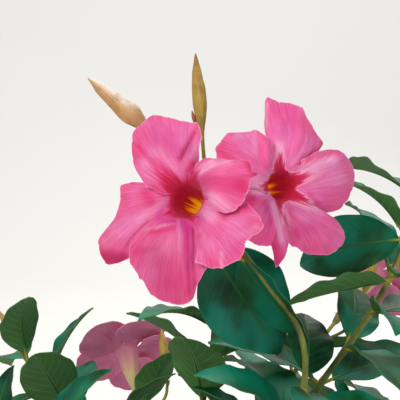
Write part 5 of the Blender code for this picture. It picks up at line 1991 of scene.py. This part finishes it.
@dataclass(frozen=True)
class PetalFinish:
    """A petal's colour: pink with deeper, mauve and pale parts, and the throat's colours; painted shade,
    highlights and glow among them.
    """

    pink: Colour = (230, 88, 150)
    lilac: Colour = (230, 112, 176)
    rose: Colour = (220, 38, 108)
    mauve: Colour = (204, 44, 136)
    pale: Colour = (246, 178, 214)
    rim: Colour = (250, 184, 212)
    between_rays: Colour = (230, 88, 150)
    back: Colour = (240, 168, 204)
    outer_tube: Stops = ((0.0, (196, 200, 120)), (0.45, (232, 206, 150)), (1.0, (236, 140, 180)))
    throat: Stops = (
        (-2.1, (226, 176, 40)), (-1.55, (224, 160, 30)), (-1.25, (208, 92, 20)), (-0.95, (160, 24, 18)),
        (-0.15, (164, 14, 40)), (0.4, (196, 28, 70)), (0.8, (212, 42, 100)), (1.15, (224, 66, 134)))
    # Painted light: the colours that the throat's inner face glows with, as if lit through its wall
    glow: Stops = (
        (-2.1, (166, 138, 8)), (-1.55, (166, 118, 4)), (-1.25, (146, 50, 3)), (-0.95, (116, 12, 12)),
        (-0.15, (108, 4, 32)), (0.4, (40, 2, 16)), (0.8, (8, 0, 2)), (1.15, (0, 0, 0)))

    def throat_ramp(self, bench: Bench, reach: Wire, stops: Stops) -> Wire:
        """Return the colour of a throat.

        Args:
            bench: the material.
            reach: how far out, as a share of the red's.
            stops: the colours at values of reach.

        Returns:
            The colour.
        """
        low, high = stops[0][0], stops[-1][0]
        return bench.ramp((reach - low) / (high - low),
                          tuple(((at - low) / (high - low), colour) for at, colour in stops))

    def material(self, name: str) -> Material:
        """Return a petal's material. Streaks run from the throat to the rim; the ramps read reach.

        Args:
            name: its name.

        Returns:
            The material.
        """
        bench = Bench(name)
        mix, step, number = bench.mix, bench.step, bench.number
        grain, bare, outward = bench.vector("grain"), number("reach"), number("outward")
        streaks = step(bench.noise(bench.stretched(grain, (20.0, 20.0, 1.4)), 1.0, 3.0, 0.6), 0.3, 0.7)
        fine = step(bench.noise(bench.stretched(grain, (75.0, 75.0, 4.5)), 1.0, 2.0, 0.5), 0.3, 0.7)
        cloud = bench.noise(bench.place(), 55.0, 3.0)
        base = mix(step(cloud, 0.38, 0.66), self.pink, self.lilac)
        base = mix(step(outward, 0.55, 1.0) * 0.3, base, self.rose)
        base = mix(0.16 * fine, base, self.pale)
        base = mix(number("mauve") * (0.7 + 0.3 * streaks), base, self.mauve)
        # Deeper rose strokes, partly painted shade; pale strokes, partly painted highlights
        base = mix(number("rose") * (0.72 + 0.25 * fine), base, self.rose)
        base = mix(number("pale") * (0.5 + 0.4 * streaks), base, self.pale)
        ragged = 0.34 + 0.3 * step(bare, 0.0, 0.6)
        tongues = step(bench.noise(bench.stretched(grain, (5.5, 5.5, 0.6)), 1.0, 1.0), 0.38, 0.62) - 0.5
        tongues = tongues * (1.0 - step(bare, -1.0, 0.0)) * 0.7
        reach = bare + (streaks + fine - 1.0) * ragged + tongues
        starred = mix(1.0 - step(reach, 0.9, 2.2), base, self.between_rays)
        colour = mix(1.0 - step(reach, 0.7, 1.4), starred, self.throat_ramp(bench, reach, self.throat))
        # Painted highlight: a pale line along the outer rim, where the thin edge catches the light
        rim = (1.0 - step(number("edge"), 0.05, 0.55)) * step(outward, 0.45, 0.8)
        colour = mix(rim * (0.3 + 0.4 * streaks), colour, self.rim)
        # Streaks vary the brightness; the shade strokes paint shade, and painted light where negative
        shade = bench.maths("ADD", 0.85, streaks * 0.08 + fine * 0.08) - number("shade") * 0.34
        shades = bench.node("ShaderNodeCombineColor", None, {0: shade + 0.04, 1: shade, 2: shade})
        colour = mix(1.0, colour, shades, "MULTIPLY")
        outside = number("underside")
        outer_tube = bench.ramp(step(bare, -4.0, 0.4), self.outer_tube)
        under = mix(step(bare, -0.2, 1.2), outer_tube, mix(0.4, colour, self.back))
        # Painted glow of the throat, on its inner face only
        glow = mix(outside, self.throat_ramp(bench, reach, self.glow), (0, 0, 0))
        return bench.finish(Base_Color=mix(outside, colour, under), Roughness=0.58 + 0.16 * cloud,
                            Specular_IOR_Level=0.22, Sheen_Weight=0.1, Sheen_Roughness=0.4,
                            Emission_Color=glow, Emission_Strength=1.0,
                            Normal=bench.bump(fine * 0.5 + streaks, 0.4 * MM, 0.6))


@dataclass(frozen=True)
class LeafFinish:
    """A leaf's colour: deep glossy green above, with patches of painted teal sheen and paler veins, and
    matter below.
    """

    dark: Colour = (6, 56, 30)
    light: Colour = (22, 92, 46)
    sheen: Colour = (4, 142, 112)
    young: Colour = (84, 146, 62)
    vein: Colour = (52, 110, 58)
    under: Colour = (84, 132, 74)
    under_vein: Colour = (150, 180, 110)
    stalk: Colour = (176, 164, 44)

    def material(self, name: str) -> Material:
        """Return a leaf's material. The side veins are a cosine of the place along and across.

        Args:
            name: its name.

        Returns:
            The material.
        """
        bench = Bench(name)
        mix, step, number = bench.mix, bench.step, bench.number
        along, aside, tint = number("along"), number("aside"), number("tint")
        spread = bench.maths("ABSOLUTE", aside, 0.0)
        cloud = bench.noise(bench.place(), 60.0, 3.0)
        wave = bench.maths("COSINE", (along * LEAF_VEINS - spread * VEIN_SWEEP) * (2 * math.pi), 0.0)
        side_vein = step(wave, 0.93, 1.0) * (1.0 - step(spread, 0.7, 0.95))
        midrib = 1.0 - step(spread, 0.02, 0.075)
        patches = bench.noise(bench.place(), 26.0, 2.0)
        green = mix(step(cloud + tint * 0.3, 0.4, 0.85), self.dark, self.light)
        # Painted sheen: teal patches that stand for the reflection on the glossy upper side
        green = mix(step(patches, 0.42, 0.62) * 0.75, green, self.sheen)
        green = mix(step(tint, 0.65, 1.0), green, self.young)
        green = mix(side_vein * 0.45, green, self.vein)
        green = mix(midrib * 0.8, green, self.vein)
        green = mix(step(spread, 0.965, 1.0) * 0.5, green, self.vein)
        below = mix(bench.maths("MAXIMUM", side_vein * 0.5, midrib), self.under, self.under_vein)
        colour = mix(number("underside"), green, below)
        colour = mix(number("rib"), colour, mix(step(along, -0.06, 0.12), self.stalk, self.vein))
        height = (1.0 - side_vein) * 0.6 + bench.noise(bench.place(), 420.0, 2.0) * 0.35
        rough = 0.42 + 0.2 * number("underside") + cloud * 0.12
        return bench.finish(Base_Color=colour, Roughness=rough, Specular_IOR_Level=0.16,
                            Coat_Weight=0.02, Coat_Roughness=0.3,
                            Normal=bench.bump(height, 0.3 * MM, 0.5))


@dataclass(frozen=True)
class StemFinish:
    """A stem's colour: brown and woody at its foot, yellow-green further up, with patches of painted shade.
    """

    stops: Stops = (
        (0.0, (98, 72, 48)), (0.22, (112, 96, 52)), (0.5, (110, 128, 60)), (1.0, (164, 152, 56)))
    streak: Colour = (186, 180, 104)
    shady: Colour = (62, 74, 22)

    def material(self, name: str) -> Material:
        """Return a stem's material, with fine streaks along it.

        Args:
            name: its name.

        Returns:
            The material.
        """
        bench = Bench(name)
        place = bench.place()
        streaks = bench.noise(bench.stretched(place, (900.0, 900.0, 90.0)), 1.0, 3.0, 0.6)
        patches = bench.noise(place, 90.0, 2.0)
        colour = bench.ramp(bench.number("along") + (patches - 0.5) * 0.3, self.stops)
        colour = bench.mix(bench.step(streaks, 0.45, 0.75) * 0.4, colour, self.streak)
        # Painted shade: dark olive patches on the upper stem
        shady = bench.step(bench.noise(place, 55.0, 1.0), 0.42, 0.6)
        shady = shady * bench.step(bench.number("along"), 0.3, 0.6)
        colour = bench.mix(shady * 0.75, colour, self.shady)
        return bench.finish(Base_Color=colour, Roughness=0.5 + patches * 0.2,
                            Normal=bench.bump(streaks, 0.2 * MM, 0.5))


@dataclass(frozen=True)
class BudFinish:
    """A bud's colours along it, its darker seams and a painted highlight on the upper side of its far half.
    """

    stops: Stops
    seam: Colour
    crest: Colour

    def material(self, name: str) -> Material:
        """Return a bud's material. The seams follow the furled petals' edges.

        Args:
            name: its name.

        Returns:
            The material.
        """
        bench = Bench(name)
        place = bench.place()
        along, furl = bench.number("along"), bench.number("furl")
        cloud = bench.noise(place, 160.0, 3.0, 0.6)
        colour = bench.ramp(along + (cloud - 0.5) * 0.22, self.stops)
        # Painted highlight on the upper side of the far half, where the light falls
        crest = bench.step(bench.number("crest") + (cloud - 0.5) * 0.5, 0.0, 0.75)
        crest = crest * bench.step(along, 0.4, 0.62)
        colour = bench.mix(crest * 0.85, colour, self.crest)
        seam = bench.maths("MAXIMUM", bench.step(furl, 0.7, 1.0), 1.0 - bench.step(furl, 0.0, 0.3))
        colour = bench.mix(seam * 0.3 + bench.step(cloud, 0.42, 0.7) * 0.45, colour, self.seam)
        fine = bench.noise(bench.stretched(place, (1.0, 1.0, 0.35)), 900.0, 2.0)
        return bench.finish(Base_Color=colour, Roughness=0.48 + cloud * 0.15,
                            Normal=bench.bump(fine + cloud, 0.2 * MM, 0.5))


@dataclass(frozen=True)
class ClayFinish:
    """Plain terracotta: mottled orange-brown, matte, with a little pale bloom in patches."""

    clay: Colour = (178, 98, 66)
    burnt: Colour = (150, 76, 50)
    bloom: Colour = (208, 160, 132)
    speck: Colour = (120, 64, 44)

    def material(self, name: str) -> Material:
        """Return the pot's material: mottling, specks and fine turning lines.

        Args:
            name: its name.

        Returns:
            The material.
        """
        bench = Bench(name)
        place = bench.place()
        cloud = bench.noise(place, 22.0, 4.0, 0.6)
        specks = bench.noise(place, 700.0, 2.0)
        lines = bench.noise(bench.stretched(place, (6.0, 6.0, 900.0)), 1.0, 2.0)
        colour = bench.mix(bench.step(cloud, 0.35, 0.7), self.clay, self.burnt)
        colour = bench.mix(bench.step(bench.noise(place, 34.0, 5.0, 0.7), 0.52, 0.75) * 0.45, colour,
                           self.bloom)
        colour = bench.mix(bench.step(specks, 0.6, 0.75) * 0.35, colour, self.speck)
        return bench.finish(Base_Color=colour, Roughness=0.82 + specks * 0.12,
                            Normal=bench.bump(lines * 0.6 + specks * 0.5, 0.25 * MM, 0.6))


@dataclass(frozen=True)
class CrumbFinish:
    """Loose matter: two colours mixed by noise and by each crumb's own tint."""

    dark: Colour
    light: Colour
    scale: float = 260.0

    def material(self, name: str) -> Material:
        """Return the crumbs' material, matte and grainy.

        Args:
            name: its name.

        Returns:
            The material.
        """
        bench = Bench(name)
        place = bench.place()
        grains = bench.noise(place, self.scale, 4.0, 0.65)
        lighter = bench.step(grains + bench.number("tint") * 0.3, 0.38, 0.8)
        colour = bench.mix(lighter, self.dark, self.light)
        fine = bench.noise(place, 4 * self.scale, 3.0)
        return bench.finish(Base_Color=colour, Roughness=0.9, Specular_IOR_Level=0.2,
                            Normal=bench.bump(grains + fine * 0.5, 0.6 * MM, 0.8))


@dataclass
class Studio:
    """The floor, the backdrop, the lights and the camera."""

    paper: Colour = (232, 230, 226)
    paler: Colour = (244, 243, 240)

    def build(self) -> None:
        """Set up the studio and look through the photograph's camera."""
        self.floor()
        self.lights()
        self.camera()
        bpy.context.scene.view_settings.view_transform = "Standard"

    def floor(self) -> None:
        """Add a pale floor that curves up into a backdrop behind the plant."""
        t = np.linspace(0, math.pi / 2, 24)
        near, far, high, bend = -3.5, 2.2, 3.0, 0.8
        curve = np.column_stack([far - bend + bend * np.sin(t), bend - bend * np.cos(t)])
        path = np.vstack([[(near, 0.0)], curve, [(far, high)]])
        sides = np.array((-4.0, 4.0))
        points = np.stack([np.broadcast_to(sides, (len(path), 2)),
                           np.repeat(path[:, :1], 2, axis=1), np.repeat(path[:, 1:], 2, axis=1) - GAP],
                          axis=-1)
        numbers = grid_numbers(len(path), 2)
        mesh = mesh_of("studio_sweep",
                       Surface(points.reshape(-1, 3), strips(numbers[:-1], numbers[1:])[:, ::-1]))
        mesh.shade_smooth()
        bench = Bench("studio_paper")
        cloud = bench.noise(bench.place(), 3.0, 2.0)
        mesh.materials.append(bench.finish(
            Base_Color=bench.mix(cloud * 0.25, self.paper, self.paler), Roughness=0.9))
        add_object("studio_sweep", mesh)

    @staticmethod
    def lamp(name: str, place: Array, target: Array, size: float, power: float, colour: Colour) -> None:
        """Add a square area light that faces a target.

        Args:
            name: its name.
            place: where it hangs.
            target: the point that it faces.
            size: the length of its sides.
            power: its power in watts.
            colour: its colour.
        """
        light = bpy.data.lights.new(name, "AREA")
        light.size = size
        light.energy = power
        light.color = srgb(colour)[:3]
        away = unit(np.asarray(place, dtype=float) - target)
        side = unit(np.cross(UP, away))
        turn = np.eye(4)
        turn[:3, :3] = np.column_stack([side, np.cross(away, side), away])
        turn[:3, 3] = place
        add_object(name, light).matrix_world = Matrix(turn.tolist())

    def lights(self) -> None:
        """Add a soft key from the upper left, a fill, a light from behind and a pale surround."""
        self.lamp("key_light", (-0.75, -1.15, 1.35), FOCUS, 0.7, 19.0, (255, 250, 242))
        self.lamp("fill_light", (1.3, -1.1, 0.6), FOCUS, 1.0, 8.0, (244, 248, 255))
        self.lamp("back_light", (0.5, 1.2, 1.3), FOCUS, 0.8, 9.0, (255, 252, 246))
        self.lamp("backdrop_light", (0.0, 0.9, 2.3), (0.0, 2.2, 0.7), 1.2, 26.0, (255, 255, 255))
        world = bpy.data.worlds.new("surround")
        world.use_nodes = True
        background = world.node_tree.nodes["Background"]
        background.inputs["Color"].default_value = srgb((236, 240, 246))
        background.inputs["Strength"].default_value = 0.38
        bpy.context.scene.world = world

    @staticmethod
    def camera() -> None:
        """Add the camera of the front view."""
        camera = bpy.data.cameras.new("camera")
        camera.lens = LENS
        camera.clip_end = 20.0
        eye = add_object("camera", camera)
        pose = np.eye(4)
        pose[:3, :3] = np.column_stack([RIGHT, RISE, FRONT])
        pose[:3, 3] = EYE
        eye.matrix_world = Matrix(pose.tolist())
        bpy.context.scene.camera = eye


# Each bud colour: its colours along it, its seam colour and the colour of its painted highlight on top
BUD_FINISHES = {
    BudColour.GREEN: BudFinish(((0.0, (134, 132, 40)), (0.3, (156, 138, 46)), (0.6, (178, 148, 62)),
                                (0.85, (176, 140, 66)), (1.0, (160, 112, 60))), (112, 82, 34),
                               (196, 164, 82)),
    BudColour.CREAM: BudFinish(((0.0, (160, 132, 70)), (0.3, (176, 124, 76)), (0.45, (194, 150, 98)),
                                (0.6, (196, 150, 92)), (1.0, (190, 142, 94))), (142, 84, 50),
                               (250, 238, 218)),
    BudColour.RED: BudFinish(((0.0, (120, 110, 50)), (0.4, (150, 84, 56)), (1.0, (176, 96, 66))),
                             (120, 60, 44), (184, 110, 80)),
}


def build_blooms(plan: Plan) -> None:
    """Build every corolla, finer for the two front blooms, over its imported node.

    Args:
        plan: the plant's plan.
    """
    look = PetalFinish()
    starred = PetalFinish(between_rays=(244, 170, 206))
    for bloom in plan.blooms:
        corolla = Corolla(bloom, *(FRONT_COROLLA if bloom.measured else OTHER_COROLLA))
        finish = starred if bloom.name == "front_right" else look
        make_piece(f"corolla_{bloom.name}", corolla.surface(), finish.material(f"petal_{bloom.name}"),
                   f"bloom_{bloom.name}", 75)


def build_buds(plan: Plan) -> None:
    """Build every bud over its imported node.

    Args:
        plan: the plant's plan.
    """
    looks = {colour: finish.material(colour.value) for colour, finish in BUD_FINISHES.items()}
    for bud in plan.buds:
        make_piece(f"furled_{bud.name}", bud_surface(bud), looks[bud.colour],
                   f"bud_{bud.name}", 50)


def build_stems(plan: Plan) -> None:
    """Build every stem with its shoots, and its leaves as one piece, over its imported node.

    Args:
        plan: the plant's plan.
    """
    stem_look = StemFinish().material("stem_skin")
    leaf_look = LeafFinish().material("leaf_skin")
    rng = np.random.default_rng(SEED + 1)
    for stem in plan.stems:
        leaves = []
        for leaf in stem.leaves:
            drawn = rng.uniform(0, 0.6)
            leaves.append(leaf_surface(leaf, leaf.paleness if leaf.paleness >= 0 else drawn))
        for name, surface, look in ((f"stalks_{stem.name}", stem_surface(stem), stem_look),
                                    (f"leaves_{stem.name}", joined(leaves), leaf_look)):
            make_piece(name, surface, look, f"leafy_stem_{stem.name}", 70)


def build_sepals(plan: Plan) -> None:
    """Build the sepals round the foot of every corolla and every large bud.

    Args:
        plan: the plant's plan.
    """
    stops = ((0.0, (112, 124, 46)), (0.5, (122, 120, 46)), (1.0, (132, 98, 44)))
    look = StemFinish(stops).material("sepal")
    rings = [sepals(bloom.base() - bloom.axis * 2.5 * MM, bloom.axis, 9 * MM, 1.5 * MM)
             for bloom in plan.blooms]
    rings += [sepals(bud.base - bud.axis * 2 * MM, bud.axis, 0.07 * bud.length + 1 * MM, 1.1 * MM)
              for bud in plan.buds if bud.length > 20 * MM and bud.name != "top"]
    make_piece("sepals", joined(rings), look)


def build_pot_and_soil(plan: Plan) -> None:
    """Build the pot, the potting mix and the crumbs on it.

    Args:
        plan: the plant's plan.
    """
    clay = ClayFinish().material("terracotta")
    drained(make_piece("terracotta_pot", pot_surface(), clay, "pot", CLAY_SHARP))
    feet = np.array([stem.path[0, :2] for stem in plan.stems])
    mix = CrumbFinish((44, 31, 23), (84, 63, 46)).material("potting_mix")
    make_piece("potting_mix", soil_surface(), mix, "soil")
    for name, crumbs, colours in (
        ("perlite", chips(130, 0.9 * MM, 2 * MM, 0.8, SEED + 2, feet), ((206, 202, 194), (244, 242, 238))),
        ("bark", chips(130, 1.6 * MM, 3.6 * MM, 0.35, SEED + 3, feet), ((70, 46, 32), (122, 84, 56))),
    ):
        make_piece(name, crumbs, CrumbFinish(*colours).material(name), sharp=20)


def main() -> None:
    """Build the plant, the pot and the studio."""
    logging.basicConfig(level=logging.INFO, format="%(message)s")
    plan = Plan()
    build_pot_and_soil(plan)
    build_stems(plan)
    build_sepals(plan)
    build_blooms(plan)
    build_buds(plan)
    Studio().build()


if __name__ == "__main__":
    main()
